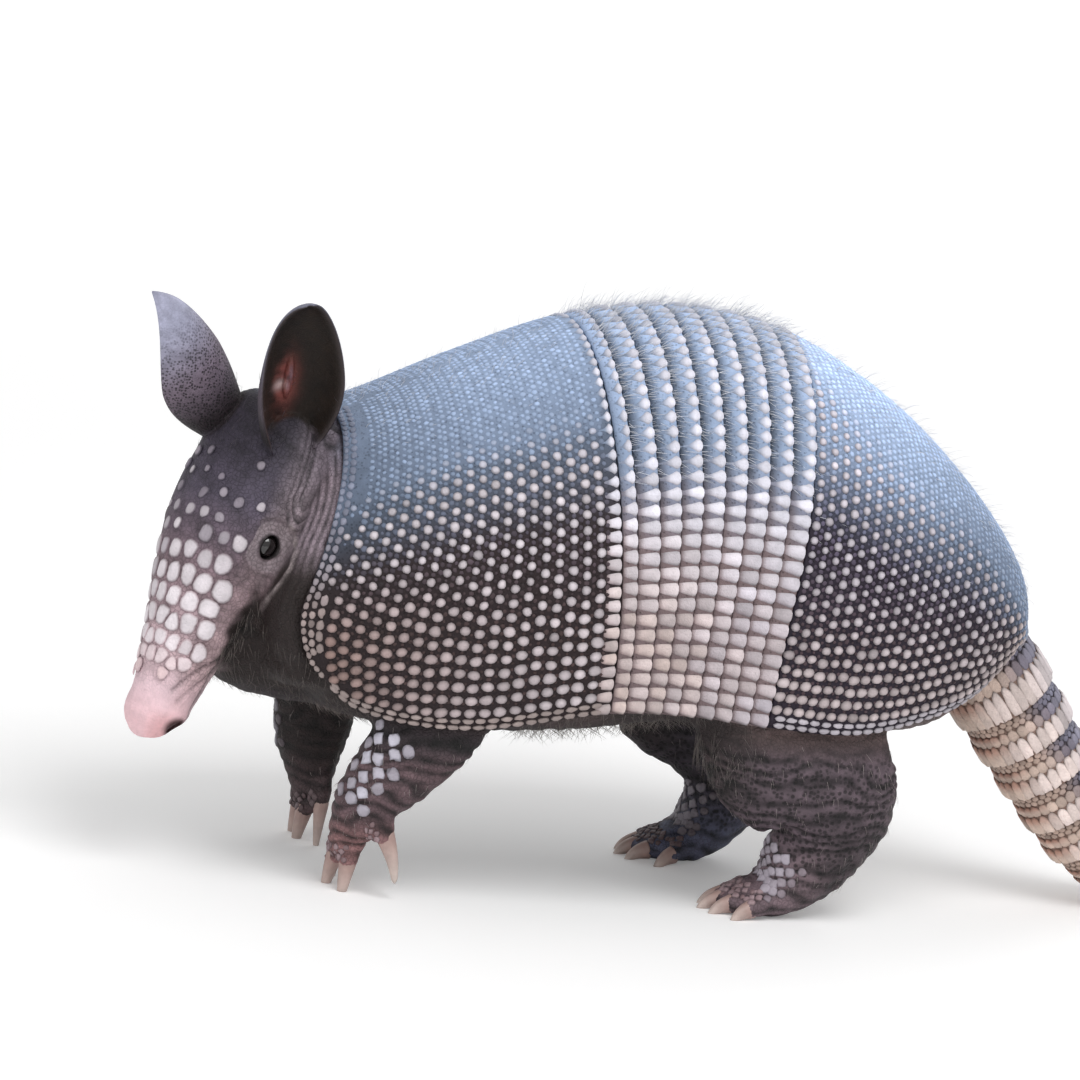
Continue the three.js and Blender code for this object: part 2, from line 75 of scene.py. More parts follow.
# Along the head, half its width, and its height over and under its line
HEAD_STATIONS = np.array([
    [-13, 8, 4, 14], [-9, 17, 10, 22], [2, 21.5, 15, 28], [18, 23.5, 18, 30], [36, 23.5, 19.5, 27],
    [54, 19.5, 18.5, 21], [70, 15, 16, 17], [84, 12, 13.5, 14], [96, 10.5, 11.5, 11],
    [103, 9.5, 10.5, 9], [107, 6.5, 8, 6],
])
EYE_RADIUS = 4.4
EYE_STATION, EYE_ANGLE = 4.1, math.radians(76)
EAR_LENGTH, EAR_WIDTH, EAR_THICK, EAR_APART = 55, 31, 1.6, 12.5
EAR_ROLL = np.radians([115, 43])
EAR_LEAN = {1: np.radians([43, 21]), -1: np.radians([62, 12])}
# Paths: x, y, z, half the width and half the depth. A limb's toes each have two ends and two radii.
NECK = np.array([[0, -98, 106, 46, 44], [1, -122, 102, 44, 46], [3, -142, 101, 37, 44],
                 [5, -155, 104, 28, 38.0]])
LIMBS = {
    "fore_left": (
        [[38, -84, 92, 18, 20], [43, -90, 66, 16, 18], [44, -100, 49, 13, 15.5], [42, -109, 36, 11.5, 12],
         [39, -113.5, 25, 11.5, 10.5], [36, -115.5, 14, 10.5, 9]],
        [[[46, -108, 28], [48.5, -104.5, 20], 4.6, 3.6], [[40.5, -114, 16], [41.5, -115, 8.5], 4.2, 3.3],
         [[33.5, -116, 16], [33, -117.5, 8.5], 4.2, 3.3], [[28, -113, 20], [26, -113.5, 13], 3.6, 2.8]]),
    "fore_right": (
        [[-34, -88, 92, 18, 20], [-34, -102, 68, 16, 18], [-32, -111, 50, 13.5, 15],
         [-30, -112, 36, 12, 13], [-29, -111.5, 25, 11.5, 11], [-28, -111, 14, 10.5, 9]],
        [[[-37, -106, 26], [-40, -103, 18], 4.6, 3.6], [[-32, -111.5, 16], [-32.5, -112.5, 8.5], 4.2, 3.3],
         [[-25, -111.5, 16], [-24.5, -113, 8.5], 4.2, 3.3],
         [[-20, -108.5, 19], [-18, -109, 12], 3.6, 2.8]]),
    "hind_left": (
        [[34, 52, 100, 24, 30], [40, 36, 78, 22, 34], [43, 38, 60, 17, 33], [43, 52, 43, 15, 24],
         [41, 51, 28, 13, 18], [38.5, 44, 15, 12, 14], [37.5, 38, 8, 12, 9], [36.5, 30, 5.4, 11.5, 6.6]],
        [[[46, 34, 6], [48.5, 26, 3.2], 4, 3.4], [[41.5, 31, 6], [42.5, 20.5, 3.2], 4.3, 3.4],
         [[36.5, 30, 6], [36.5, 18.5, 3.2], 4.3, 3.4], [[31.5, 31, 6], [30.5, 20.5, 3.2], 4.3, 3.4],
         [[27.5, 35, 6], [24.2, 28, 3.2], 3.8, 3.3]]),
    "hind_right": (
        [[-34, 48, 100, 24, 30], [-40, 24, 78, 21, 32], [-40, 22, 60, 16, 28], [-36, 36, 43, 14, 20],
         [-33, 43, 29, 12.5, 16], [-31, 36, 16, 12, 12.5], [-30.5, 29.5, 8, 12, 8.8],
         [-30, 21, 5.4, 11.5, 6.6]],
        [[[-39, 24, 6], [-41.5, 16, 3.2], 4, 3.4], [[-34.5, 21, 6], [-35.5, 10.5, 3.2], 4.3, 3.4],
         [[-29.5, 20, 6], [-29.5, 8.5, 3.2], 4.3, 3.4], [[-24.5, 21, 6], [-23.5, 10.5, 3.2], 4.3, 3.4],
         [[-20.5, 25, 6], [-17.2, 18, 3.2], 3.8, 3.3]]),
}
CLAW_LENGTH = {"fore": 15, "hind": 9}
TAIL = np.array([
    [0, 104, 98, 19], [0, 121, 78, 18], [0, 137, 58, 17], [0, 152, 39, 15.7], [-1, 168, 22.5, 14.2],
    [-3, 189, 12.6, 12.9], [-8, 212, 11.1, 11.5], [-16, 235, 9.8, 10.2], [-26, 257, 8.5, 8.9],
    [-38, 278, 7.2, 7.5], [-50, 299, 5.8, 6.1], [-62, 320, 4.3, 4.6], [-73, 341, 2.8, 3.1],
])
RINGS = 12
FAR = 99.0
MM = 0.001


# ---------------------------------------------------------------- helpers
def between(rows, t):
    """Smooth value between rows of numbers, at the stations t."""
    rows = np.asarray(rows, float)
    t = np.asarray(t, float)
    far = np.vstack([2 * rows[0] - rows[1], rows, 2 * rows[-1] - rows[-2]])
    i = np.clip(np.floor(t).astype(int), 0, len(rows) - 2)
    f = (t - i)[..., None]
    a, b, d, e = far[i], far[i + 1], far[i + 2], far[i + 3]
    return b + 0.5 * ((d - a) * f + (2 * a - 5 * b + 4 * d - e) * f**2 + (3 * (b - d) + e - a) * f**3)


def unit(v):
    return v / np.maximum(np.linalg.norm(v, axis=-1, keepdims=True), 1e-9)


def smooth(low, high, x):
    """Rises from 0 at low to 1 at high, either of which may be the greater."""
    t = np.clip((x - low) / (high - low), 0, 1)
    return t * t * (3 - 2 * t)


def bump(x, middle, width):
    return np.exp(-(((x - middle) / width) ** 2))


def mixed(a, b, t):
    """Colour a where t is 0, and b where it is 1."""
    return np.asarray(a) * (1 - t)[..., None] + np.asarray(b) * t[..., None]


def lengths(p):
    """Length of the way along a line of points, up to each of them."""
    return np.concatenate([[0], np.cumsum(np.linalg.norm(np.diff(p, axis=0), axis=1))])


def varied(spread, *shape):
    """Random factors about 1."""
    return 1 + spread * rng.standard_normal(shape)


def by_ring(levels, sides, top=1.0):
    """A value for each point of a dome, from one for each of its rings and one for its top."""
    return np.concatenate([np.repeat(levels, sides), [top]])[None, :, None]


def by_place(x, places, colours):
    """Colours (m, 3) given at some places, at the places x."""
    return np.stack([np.interp(x, places, colours[:, i]) for i in range(3)], -1)


def turns(count, shift=0.0):
    """Even angles of a whole turn."""
    return 2 * np.pi * (np.arange(count) + shift) / count


def grid(rows, columns):
    return np.meshgrid(rows, columns, indexing="ij")


def on_shell(k, a):
    """The carapace's outer face: hoop k, and a from -1 at the right rim over the back to 1 at the left."""
    back_y, back_z, flank_x, flank_y, flank_z, rim_x, rim_y, rim_z = np.moveaxis(between(HOOPS, k), -1, 0)
    side, t = np.sign(a), np.abs(a)
    angle = np.pi / 2 * np.minimum(t / FLANK_AT, 1)
    down = 1 - np.cos(angle)
    q = np.maximum((t - FLANK_AT) / (1 - FLANK_AT), 0)
    reach = np.hypot(rim_y - flank_y, rim_z - flank_z) / np.hypot(flank_y - back_y, flank_z - back_z)
    start_y, start_z = (flank_y - back_y) * reach, (flank_z - back_z) * reach
    x = side * np.where(q > 0, flank_x - (flank_x - rim_x) * q * q, flank_x * np.sin(angle))
    y = back_y + (flank_y - back_y) * down + start_y * q + (rim_y - flank_y - start_y) * q * q
    z = back_z + (flank_z - back_z) * down + start_z * q + (rim_z - flank_z - start_z) * q * q
    return np.stack([x, y, z], -1)


def shell_axes(k, a):
    """Unit vectors at a point of the carapace: around it, along it and out of it."""
    step = 0.02
    k0, a0 = np.clip(k, step, LAST_HOOP - step), np.clip(a, step - 1, 1 - step)
    along = on_shell(k0 + step, a0) - on_shell(k0 - step, a0)
    around = on_shell(k0, a0 + step) - on_shell(k0, a0 - step)
    out = unit(np.cross(around, along))
    return unit(around), unit(np.cross(out, unit(around))), out


def shell_point(k, a, rise):
    k, a = np.broadcast_arrays(np.asarray(k, float), np.asarray(a, float))
    return on_shell(k, a) + shell_axes(k, a)[2] * np.broadcast_to(rise, k.shape)[..., None]


def in_head(along, left, out):
    along, left, out = (np.asarray(v)[..., None] for v in (along, left, out))
    return HEAD_AT + F * along + L * left + N * out


def head_place(p):
    """Along the head, left of it and out of it, in mm."""
    d = p - HEAD_AT
    return d @ F, d @ L, d @ N


def head_size(along):
    """Half the head's width, and its height over and under its line, at a distance along it."""
    return [np.interp(along, HEAD_STATIONS[:, 0], HEAD_STATIONS[:, i]) for i in (1, 2, 3)]


def head_point(station, angle, rise):
    along, width, up, down = np.moveaxis(between(HEAD_STATIONS, station), -1, 0)
    out = np.cos(angle)
    return in_head(along, (width + rise) * np.sin(angle), (np.where(out > 0, up, down) + rise) * out)


def head_axes(station, angle):
    """Unit vectors at a point of the head: around it, along it and out of it."""
    step = 0.04
    flat = 0.0 * angle
    around = unit(head_point(station, angle + step, flat) - head_point(station, angle - step, flat))
    along = head_point(station + step, angle, flat) - head_point(station - step, angle, flat)
    out = unit(np.cross(along, around))
    return around, unit(np.cross(around, out)), out


def eye_at(side):
    return head_point(np.array(EYE_STATION), np.array(side * EYE_ANGLE), np.array(-0.78 * EYE_RADIUS))


def eye_axes(side):
    """Unit vectors at an eye: forward, down the cheek and out of it."""
    around, forward, out = head_axes(np.array(EYE_STATION), np.array(side * EYE_ANGLE))
    return forward, around * side, out


# The solids' origin is under the middle of the whole animal
low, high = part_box("eye_left")
ORIGIN = np.array((low + high) / 2) * 1000 - eye_at(1)


def metres(points):
    return (np.asarray(points, float) + ORIGIN) * MM


# ---------------------------------------------------------------- meshes
class Sheet:
    """Gathers points, faces, colours and map places of one piece."""

    def __init__(self):
        self.co, self.faces, self.shade, self.uv, self.count = [], [], [], [], 0

    def add(self, co, faces, shade, uv=None):
        """co (n, 3), faces a list of arrays (m, 3 or 4), shade one colour or (n, 3), uv (n, 2)."""
        co = np.asarray(co, float).reshape(-1, 3)
        for f in faces:
            self.faces.append(np.asarray(f) + self.count)
        self.co.append(co)
        self.shade.append(np.broadcast_to(np.asarray(shade, float), co.shape))
        self.uv.append(np.zeros((len(co), 2)) if uv is None else np.asarray(uv, float).reshape(-1, 2))
        self.count += len(co)

    def copies(self, co, faces, shade, uv):
        """Adds n shapes of p points each, which share their faces: co (n, p, 3)."""
        n, p = co.shape[:2]
        step = (np.arange(n) * p)[:, None, None]
        shade = np.broadcast_to(shade, (n, p, 3)).reshape(-1, 3)
        self.add(co, [(f[None] + step).reshape(-1, f.shape[1]) for f in faces], shade, uv)

    def stamp(self, shapes, at, axes, shade, uv, uv_scale, keep=slice(None)):
        """Sets a small shape, shapes a pair of local (n, p, 3) and faces, on the kept ones of n places."""
        local, faces = shapes
        local, at, shade, uv = local[keep], at[keep], shade[keep], uv[keep]
        ax, ay, az = (axis[keep][:, None] for axis in axes)
        co = at[:, None] + local[..., :1] * ax + local[..., 1:2] * ay + local[..., 2:] * az
        self.copies(co, faces, shade, uv[:, None] + local[..., :2] * uv_scale)

    def piece(self, name, material, slot, replaces=(), mapped=True):
        mesh = bpy.data.meshes.new(name)
        co = metres(np.concatenate(self.co)).astype(np.float32)
        mesh.vertices.add(len(co))
        mesh.vertices.foreach_set("co", co.ravel())
        loops = np.concatenate([f.ravel() for f in self.faces]).astype(np.int32)
        sizes = np.concatenate([np.full(len(f), f.shape[1]) for f in self.faces])
        mesh.loops.add(len(loops))
        mesh.loops.foreach_set("vertex_index", loops)
        mesh.polygons.add(len(sizes))
        mesh.polygons.foreach_set("loop_start", (np.cumsum(sizes) - sizes).astype(np.int32))
        mesh.update(calc_edges=True)
        paint(mesh, np.concatenate(self.shade))
        if mapped:
            uv = np.concatenate(self.uv)[loops].astype(np.float32)
            mesh.uv_layers.new(name="OFBake").data.foreach_set("uv", uv.ravel())
        return placed(bpy.data.objects.new(name, mesh), material, replaces)


def paint(mesh, shade, name="shade"):
    rgba = np.ones((len(mesh.vertices), 4), np.float32)
    rgba[:, :3] = shade
    layer = mesh.color_attributes.get(name) or mesh.color_attributes.new(name, "FLOAT_COLOR", "POINT")
    layer.data.foreach_set("color", rgba.ravel())


def linked(made):
    if made.name not in bpy.context.scene.collection.objects:
        bpy.context.scene.collection.objects.link(made)
    return made


def placed(piece, material, replaces=()):
    linked(piece)
    piece.data.polygons.foreach_set("use_smooth", np.ones(len(piece.data.polygons), bool))
    piece.data.materials.clear()
    piece.data.materials.append(material)
    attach(piece, "root")
    if replaces:
        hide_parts(*replaces)
    return piece


def grid_faces(rows, columns, closed=False):
    """Quads of a grid of rows x columns points, whose columns may close up."""
    i, j = grid(np.arange(rows - 1), np.arange(columns if closed else columns - 1))
    here, right = i * columns + j, i * columns + (j + 1) % columns
    return np.stack([here, right, right + columns, here + columns], -1).reshape(-1, 4)


def plate_faces(rows, columns):
    """Faces of a plate, whose outer grid of points is followed by its inner one."""
    n = rows * columns
    quads = grid_faces(rows, columns)
    rim = np.concatenate([np.arange(columns), np.arange(1, rows) * columns + columns - 1,
                          n - 2 - np.arange(columns - 1), np.arange(rows - 2, 0, -1) * columns])
    after = np.roll(rim, -1)
    return [quads, quads[:, ::-1] + n, np.stack([rim, rim + n, after + n, after], -1)]


# ---------------------------------------------------------------- materials
def set_values(node, values):
    for key, value in values.items():
        node.inputs[key].default_value = value


def node_maker(tree):
    """A function that adds a node to the tree, with values or links for its inputs."""
    def node(kind, inputs=(), **settings):
        new = tree.nodes.new("ShaderNode" + kind)
        for key, value in settings.items():
            setattr(new, key, value)
        for key, value in dict(inputs).items():
            if isinstance(value, bpy.types.NodeSocket):
                tree.links.new(value, new.inputs[key])
            else:
                new.inputs[key].default_value = value
        return new
    return node


# Kinds of relief: where they rise from low to high, and their node
RELIEF = {
    "cells": ((0.0, 0.16), "TexVoronoi", {"Randomness": 1.0}, {"feature": "DISTANCE_TO_EDGE"}),
    "pits": ((0.0, 0.42), "TexVoronoi", {"Randomness": 1.0}, {"feature": "F1"}),
    "net": ((0.20, 0.56), "TexVoronoi", {"Randomness": 0.72}, {"feature": "F1"}),
    "noise": ((0.3, 0.7), "TexNoise", {"Detail": 3}, {}),
}


def material(name, roughness, specular=0.5, fine=(), coat=0.0):
    """Takes its colour from the mesh. fine lists small relief: kind, scale per metre, height in mm, how much
    darker its low places are, and the channel of the mesh's grain that weighs it."""
    made = bpy.data.materials.new(name)
    made.use_nodes = True
    node, links = node_maker(made.node_tree), made.node_tree.links
    shader = made.node_tree.nodes["Principled BSDF"]
    set_values(shader, {"Roughness": roughness, "Specular IOR Level": specular, "Coat Weight": coat,
                        "Coat Roughness": 0.12})

    def scaled(vector, factor):
        return node("VectorMath", {0: vector, "Scale": factor}, operation="SCALE").outputs["Vector"]

    place = node("TexCoord").outputs["Object"]
    cloudy = node("TexNoise", {"Scale": 260, "Detail": 4, "Vector": place})
    spread = node("MapRange", {"Value": cloudy.outputs["Fac"], "To Min": 0.72, "To Max": 1.28})
    colour = node("Attribute", attribute_name="shade").outputs["Color"]
    out = scaled(colour, spread.outputs["Result"])
    weights = normal = None
    for kind, scale, height, dark, channel in fine:
        (start, stop), texture, inputs, settings = RELIEF[kind]
        wave = node(texture, {"Scale": scale, "Vector": place, **inputs}, **settings)
        level = wave.outputs["Fac" if kind == "noise" else "Distance"]
        ramp = node("MapRange", {"Value": level, "From Min": start, "From Max": stop},
                    interpolation_type="SMOOTHSTEP").outputs["Result"]
        weight = 1.0
        if channel is not None:
            if weights is None:
                grain = node("Attribute", attribute_name="grain").outputs["Color"]
                weights = node("SeparateColor", {"Color": grain})
            weight = weights.outputs[channel]
        relief = node("Bump", {"Distance": height * MM, "Strength": weight, "Height": ramp})
        if normal is not None:
            links.new(normal, relief.inputs["Normal"])
        normal = relief.outputs["Normal"]
        if dark:
            depth = node("Math", {0: ramp, 1: -dark, 2: dark}, operation="MULTIPLY_ADD").outputs[0]
            if channel is not None:
                depth = node("Math", {0: depth, 1: weight}, operation="MULTIPLY").outputs[0]
            out = scaled(out, node("Math", {0: 1.0, 1: depth}, operation="SUBTRACT").outputs[0])
    links.new(out, shader.inputs["Base Color"])
    if normal is not None:
        links.new(normal, shader.inputs["Normal"])
    return made


SHELL_LOOK = material("shell_base", 0.62, 0.3, [("pits", 760, 0.25, 0.40, None),
                                                ("noise", 1500, 0.1, 0, None)])
SCUTE_LOOK = material("scute", 0.45, 0.45, [("noise", 1300, 0.12, 0, None),
                                            ("noise", 3200, 0.05, 0, None)], 0.06)
SMALL_LOOK = material("small_scale", 0.55, 0.3, [("noise", 2400, 0.06, 0, None)])
HEAD_PLATE_LOOK = material("head_plate", 0.45, 0.5, [("noise", 1100, 0.14, 0, None)])
TAIL_LOOK = material("tail", 0.48, 0.5, [("noise", 1200, 0.15, 0, None)])
SKIN_LOOK = material("skin", 0.58, 0.4, [("cells", 640, 0.16, 0.40, 0), ("net", 560, 0.28, 0.72, 1),
                                         ("net", 1000, 0.15, 0.80, 2), ("noise", 1500, 0.12, 0, None)])
CLAW_LOOK = material("claw", 0.35, 0.5, [("noise", 700, 0.08, 0, None)], 0.1)
EYE_LOOK = material("eye", 0.06, 0.7, coat=0.6)
HAIR_LOOK = material("hair", 0.5, 0.4)

# Colours, linear
CREAM = np.array([0.64, 0.585, 0.625])
LILAC = np.array([0.53, 0.49, 0.54])
BEAD = np.array([0.82, 0.81, 0.91])
PALE_TAN = np.array([0.36, 0.235, 0.21])
SLATE = np.array([0.236, 0.302, 0.430])
UMBER = np.array([0.026, 0.016, 0.018])
BROWN = np.array([0.085, 0.052, 0.052])
MAUVE = np.array([0.120, 0.095, 0.125])
# Where the scutes turn white: hoop, and place around the shell
WHITE_LINE = np.array([
    [0, 0.65, 1, 1.8, 2.1, 2.9, 3.05, 4.95, 5.05, 5.45, 5.73, 6.2, 6.73, 7.33, 7.8, 9],
    [0.47, 0.42, 0.39, 0.36, 0.365, 0.355, 0.10, 0.12, 0.175, 0.283, 0.325, 0.372, 0.38, 0.45, 0.50, 0.56]])
BACK_LINE = np.array([[0, 1, 2, 3, 5, 5.5, 6, 7, 8, 9],
                      [0.54, 0.48, 0.44, 0.42, 0.42, 0.44, 0.46, 0.50, 0.58, 0.62]])


def white_share(k, a):
    """0 on the blue-grey back, 1 where the scutes are white."""
    line = np.interp(k, *WHITE_LINE)
    return smooth(line - 0.05, line + 0.11, np.abs(a))


def haunch(k, a):
    """The shell is darkest by the neck, and the pelvic shield palest on its upper front, behind the bands."""
    nape = 0.80 + 0.20 * smooth(0.3, 2.2, k)
    return nape * (1 + 0.62 * smooth(4.9, 5.1, k) * smooth(7.4, 5.4, k) * smooth(0.54, 0.38, np.abs(a)))


def back_share(k, a):
    """1 on the blue-grey back, fading to 0 a little below where the white scutes begin."""
    line = np.interp(k, *BACK_LINE)
    return 1 - smooth(line - 0.08, line + 0.17, np.abs(a))


def painted_sky_sheen(a):
    """Painted sheen of the sky: the back grows paler towards the spine."""
    return 1 + 0.72 * smooth(0.46, 0.06, np.abs(a))


def pelvic_front(k):
    return smooth(4.5, 5.2, k) * smooth(7.2, 6.0, k)


def shell_shade(k, a):
    """Colour of the skin between the scutes, with a painted sky sheen towards the spine."""
    dim = (0.38 - 0.28 * pelvic_front(k)) * smooth(0.1, 0.8, white_share(k, a))
    pale = (0.64 + 0.14 * smooth(0.6, 2.2, k) - 0.04 * smooth(4.5, 5.5, k)) * (1 - dim)
    deep = mixed(UMBER, UMBER * [0.85, 0.95, 1.5], smooth(4, 5, k))
    return mixed(deep, SLATE * pale[:, None], back_share(k, a)) * (painted_sky_sheen(a) * haunch(k, a))[:, None]


def scute_shade(k, a, keen):
    """Colour of a shield's scutes, with a painted sky sheen towards the spine. keen is how bright each is
    among its neighbours.
    """
    white = white_share(k, a)
    low = smooth(0.56, 0.86, np.abs(a)) * (1 - smooth(0.4, 2.8, k) * 0.8)
    cream = mixed(mixed(CREAM, LILAC, smooth(4, 5, k)), PALE_TAN, low)
    rear = smooth(7.0, 8.5, k) * smooth(0.34, 0.56, np.abs(a))
    rim = 0.6 * smooth(4.5, 5.2, k) * smooth(0.66, 0.92, np.abs(a))
    cream = mixed(cream, [0.58, 0.48, 0.47], np.maximum(rear, rim))
    keen = 1 + (keen - 1) * (0.5 + 0.5 * white)
    back = SLATE * ((1.12 + 0.16 * smooth(4.5, 5.5, k)) * haunch(k, a))[:, None]
    tone = mixed(back, cream * (haunch(k, a) ** 0.6)[:, None], white)
    return tone * (keen * painted_sky_sheen(a) ** (1 - 0.5 * white))[:, None]


def small_shade(k, a, keen):
    """Colour of the small scales between a shield's scutes, with a painted sky sheen towards the spine."""
    own = mixed(MAUVE, BROWN, smooth(0.5, 0.8, np.abs(a)))
    own = mixed(own, own * [0.9, 0.95, 1.15], smooth(4, 5, k))
    fade = 1 - (0.35 - 0.25 * pelvic_front(k)) * smooth(0.1, 0.8, white_share(k, a))
    return mixed(own, SLATE * 1.1, back_share(k, a)) * (keen * fade * painted_sky_sheen(a) * haunch(k, a))[:, None]


# ---------------------------------------------------------------- carapace
ARC_FROM = 0.62


def arc_table(k, count=400):
    """Places around the shell at hoop k by the length of arc from a point of the flank."""
    a = np.linspace(0, 1, count)
    s = lengths(on_shell(np.full(count, k), a))
    return a, s - np.interp(ARC_FROM, a, s)


def length_table(k0, k1, a=ARC_FROM, count=200):
    k = np.linspace(k0, k1, count)
    return k, lengths(on_shell(k, np.full(count, a)))


# Room for the rim's own scutes, in mm, by the hoop
RIM_ROOM = [[0.3, 0.5, 8.2, 8.5], [3.8, 7.5, 7.5, 3.8]]


def even_steps(start, last, pitch, shift, most=60):
    """Places at a pitch around the shell from its start to its last, stretched to fit below the flank, and
    how far they are stretched there."""
    whole = (max(round(last / pitch - shift), 1) + shift) * pitch
    steps = (np.arange(-most, most) + shift) * pitch
    steps = np.where(steps > 0, steps * last / whole, steps)
    return steps[(steps > start) & (steps < last + 0.1)], last / whole


def rosette_places(k0, k1, pitch_around, pitch_along, margins):
    """Staggered places of a shield's scutes, as (k, a). The last of each row stands by the rim's own."""
    k, s = length_table(k0, k1)
    length = s[-1] - sum(margins)
    rows = int(round(length / pitch_along))
    places = []
    for row in range(rows + 1):
        at = np.interp(margins[0] + length * row / rows, s, k)
        a, around = arc_table(at)
        last = around[-1] - np.interp(at, *RIM_ROOM)
        steps, _ = even_steps(around[0] + 0.25 * pitch_around, last, pitch_around, 0.5 * (row % 2))
        for side in (-1, 1):
            places.append(np.stack([np.full(len(steps), at), side * np.interp(steps, around, a)], -1))
    return np.concatenate(places)


def map_place(k, a):
    """Place of a point of the shell on its map."""
    return np.stack([0.5 + 0.47 * np.asarray(a), 0.03 + 0.94 * np.asarray(k) / LAST_HOOP], -1)


def dome(radii, heights, outlines):
    """Low domes on outlines (n, sides), of rings with those shares and heights and a point on top."""
    n, sides = outlines.shape
    angle = turns(sides)
    rings = []
    for r, h in zip(radii, heights):
        x, y = r * outlines * np.cos(angle), r * outlines * np.sin(angle)
        rings.append(np.stack([x, y, np.full((n, sides), h)], -1))
    rings.append(np.tile([[[0.0, 0.0, heights[-1]]]], (n, 1, 1)))
    last = (len(radii) - 1) * sides
    j = np.arange(sides)
    cap = np.stack([last + j, last + (j + 1) % sides, np.full(sides, len(radii) * sides)], -1)
    return np.concatenate(rings, 1), [grid_faces(len(radii), sides, True), cap]


def base_plate(name, k0, k1, rows, slot, replaced, rise=np.zeros_like, edge=1.0, shade_at=shell_shade):
    """The shell under the scutes: a plate with rounded edges."""
    columns = 161
    v = 0.5 - 0.5 * np.cos(np.pi * np.linspace(0, 1, rows))
    v, u = grid(v, np.linspace(-1, 1, columns))
    k = k0 + (k1 - k0) * v
    around = np.minimum(1 - np.abs(u), 0.03) / 0.03
    ends = np.minimum(np.minimum(v, 1 - v) * (k1 - k0) * 40, 1)
    soft = np.sqrt(np.clip(1 - (1 - np.minimum(around, ends)) ** 2, 0, 1))
    top = rise(v) - edge * (1 - soft)
    outer, inner = shell_point(k, u, top), shell_point(k, u, np.full_like(top, -SHELL_THICK))
    shade = shade_at(k.ravel(), u.ravel())
    uv = map_place(k.ravel(), u.ravel()) * [1, 0.5]
    piece = Sheet()
    piece.add(np.stack([outer, inner]), plate_faces(rows, columns), np.concatenate([shade, shade * 0.5]),
              np.concatenate([uv, uv + [0, 0.5]]))
    return piece.piece(name, SHELL_LOOK, slot, [replaced])


def from_rim(k, inset, side):
    """Place around the shell at an arc length in from its rim."""
    a, around = arc_table(float(k))
    return side * np.interp(around[-1] - inset, around, a)


def from_front(a, inset):
    """Hoop place at an arc length in from the shell's front edge."""
    k, along = length_table(0, 1, abs(a))
    return np.interp(inset, along, k)


# Colour of the front rims' scutes by the place around the shell
RIM_TONES = np.array([[0.0, 0.20, 0.23, 0.32], [0.45, 0.21, 0.23, 0.31], [0.60, 0.30, 0.28, 0.33],
                      [0.75, 0.33, 0.26, 0.25], [1.0, 0.37, 0.30, 0.285]])
rim_places = []


def rim_scutes(piece, corners, length, high, tone=None):
    """Flattened scutes in a row along a rim, given as (k, a) points of a line."""
    corners = np.array(corners, float)
    ends = zip(corners[:-1], corners[1:])
    line = np.concatenate([np.linspace(p, q, 60, endpoint=False) for p, q in ends] + [corners[-1:]])
    s = lengths(on_shell(line[:, 0], line[:, 1]))
    count = int(s[-1] / length)
    middle = (np.arange(count) + 0.5) * s[-1] / count + rng.uniform(-0.15, 0.15, count)
    k, a = (np.interp(middle, s, line[:, i]) for i in (0, 1))
    k2, a2 = (np.interp(middle + 0.5, s, line[:, i]) for i in (0, 1))
    out = shell_axes(k, a)[2]
    at = shell_point(k, a, -0.3)
    ax = on_shell(k2, a2) - on_shell(k, a)
    ax = unit(ax - out * (ax * out).sum(1)[:, None])
    local, faces = dome([1.0, 0.96, 0.80, 0.45], [0.0, 0.45, 0.75, 0.86, 0.88], varied(0.07, count, 12))
    local = local * np.array([s[-1] / count * 0.46, high, 1.0])
    keen = varied(0.12, count).clip(0.6, 1.3)[:, None]
    white = white_share(k, a)
    if tone is None:
        own = by_place(np.abs(a), RIM_TONES[:, 0], RIM_TONES[:, 1:])
    else:
        own = mixed(SLATE, tone, np.maximum(white, 0.25))
    # painted shade: each scute darker towards its edge, fainter on the back
    ring = by_ring([0.36, 0.62, 0.95, 1.0], 12) ** (0.25 + 0.75 * white)[:, None, None]
    shade = (own * keen)[:, None] * ring
    piece.stamp((local, faces), at, (ax, np.cross(out, ax), out), shade, map_place(k, a), 0.0008)
    rim_places.append(at)


# Rows of scutes along the shell's front: inset, first and last place, points of the line, length, half height
FRONT_ROWS = ((1.2, 0.95, 0.04, 24, 2.9, 0.95), (3.8, 0.91, 0.04, 24, 3.2, 1.15),
              (6.7, 0.89, 0.70, 12, 3.6, 1.35))
rims = Sheet()
for side in (-1, 1):
    for inset, k0, length in ((1.7, 0.34, 4.3), (4.3, 0.42, 4.4)):
        row = [(k, from_rim(k, inset, side)) for k in np.linspace(2.93, k0, 12)]
        rim_scutes(rims, row, length, 1.05)
    corner = [(0.20, from_rim(0.20, 1.9, side))]
    for inset, a0, a1, count, length, high in FRONT_ROWS:
        row = [(from_front(a, inset), side * a) for a in np.linspace(a0, a1, count)]
        rim_scutes(rims, corner + row, length, high)
        corner = []
    for inset, k1, length in ((1.7, 8.45, 4.3), (4.3, 8.3, 4.4)):
        row = [(k, from_rim(k, inset, side)) for k in np.linspace(5.06, k1, 16)]
        rim_scutes(rims, row, length, 1.05, LILAC * 0.95)
    row = [(8.72, from_rim(8.72, 2.6, side)), (8.93, side * 0.84), (8.95, side * 0.03)]
    rim_scutes(rims, row, 3.6, 0.9, LILAC * 0.95)
rims.piece("rim_scutes", SCUTE_LOOK, "shield")
rim_places = np.concatenate(rim_places)


def clear_of_rims(at, gap):
    """Which places are farther than gap from every scute of the rims."""
    near = np.full(len(at), FAR)
    for part in np.array_split(np.arange(len(at)), 12):
        near[part] = np.linalg.norm(at[part][:, None] - rim_places[None], axis=2).min(1)
    return near > gap


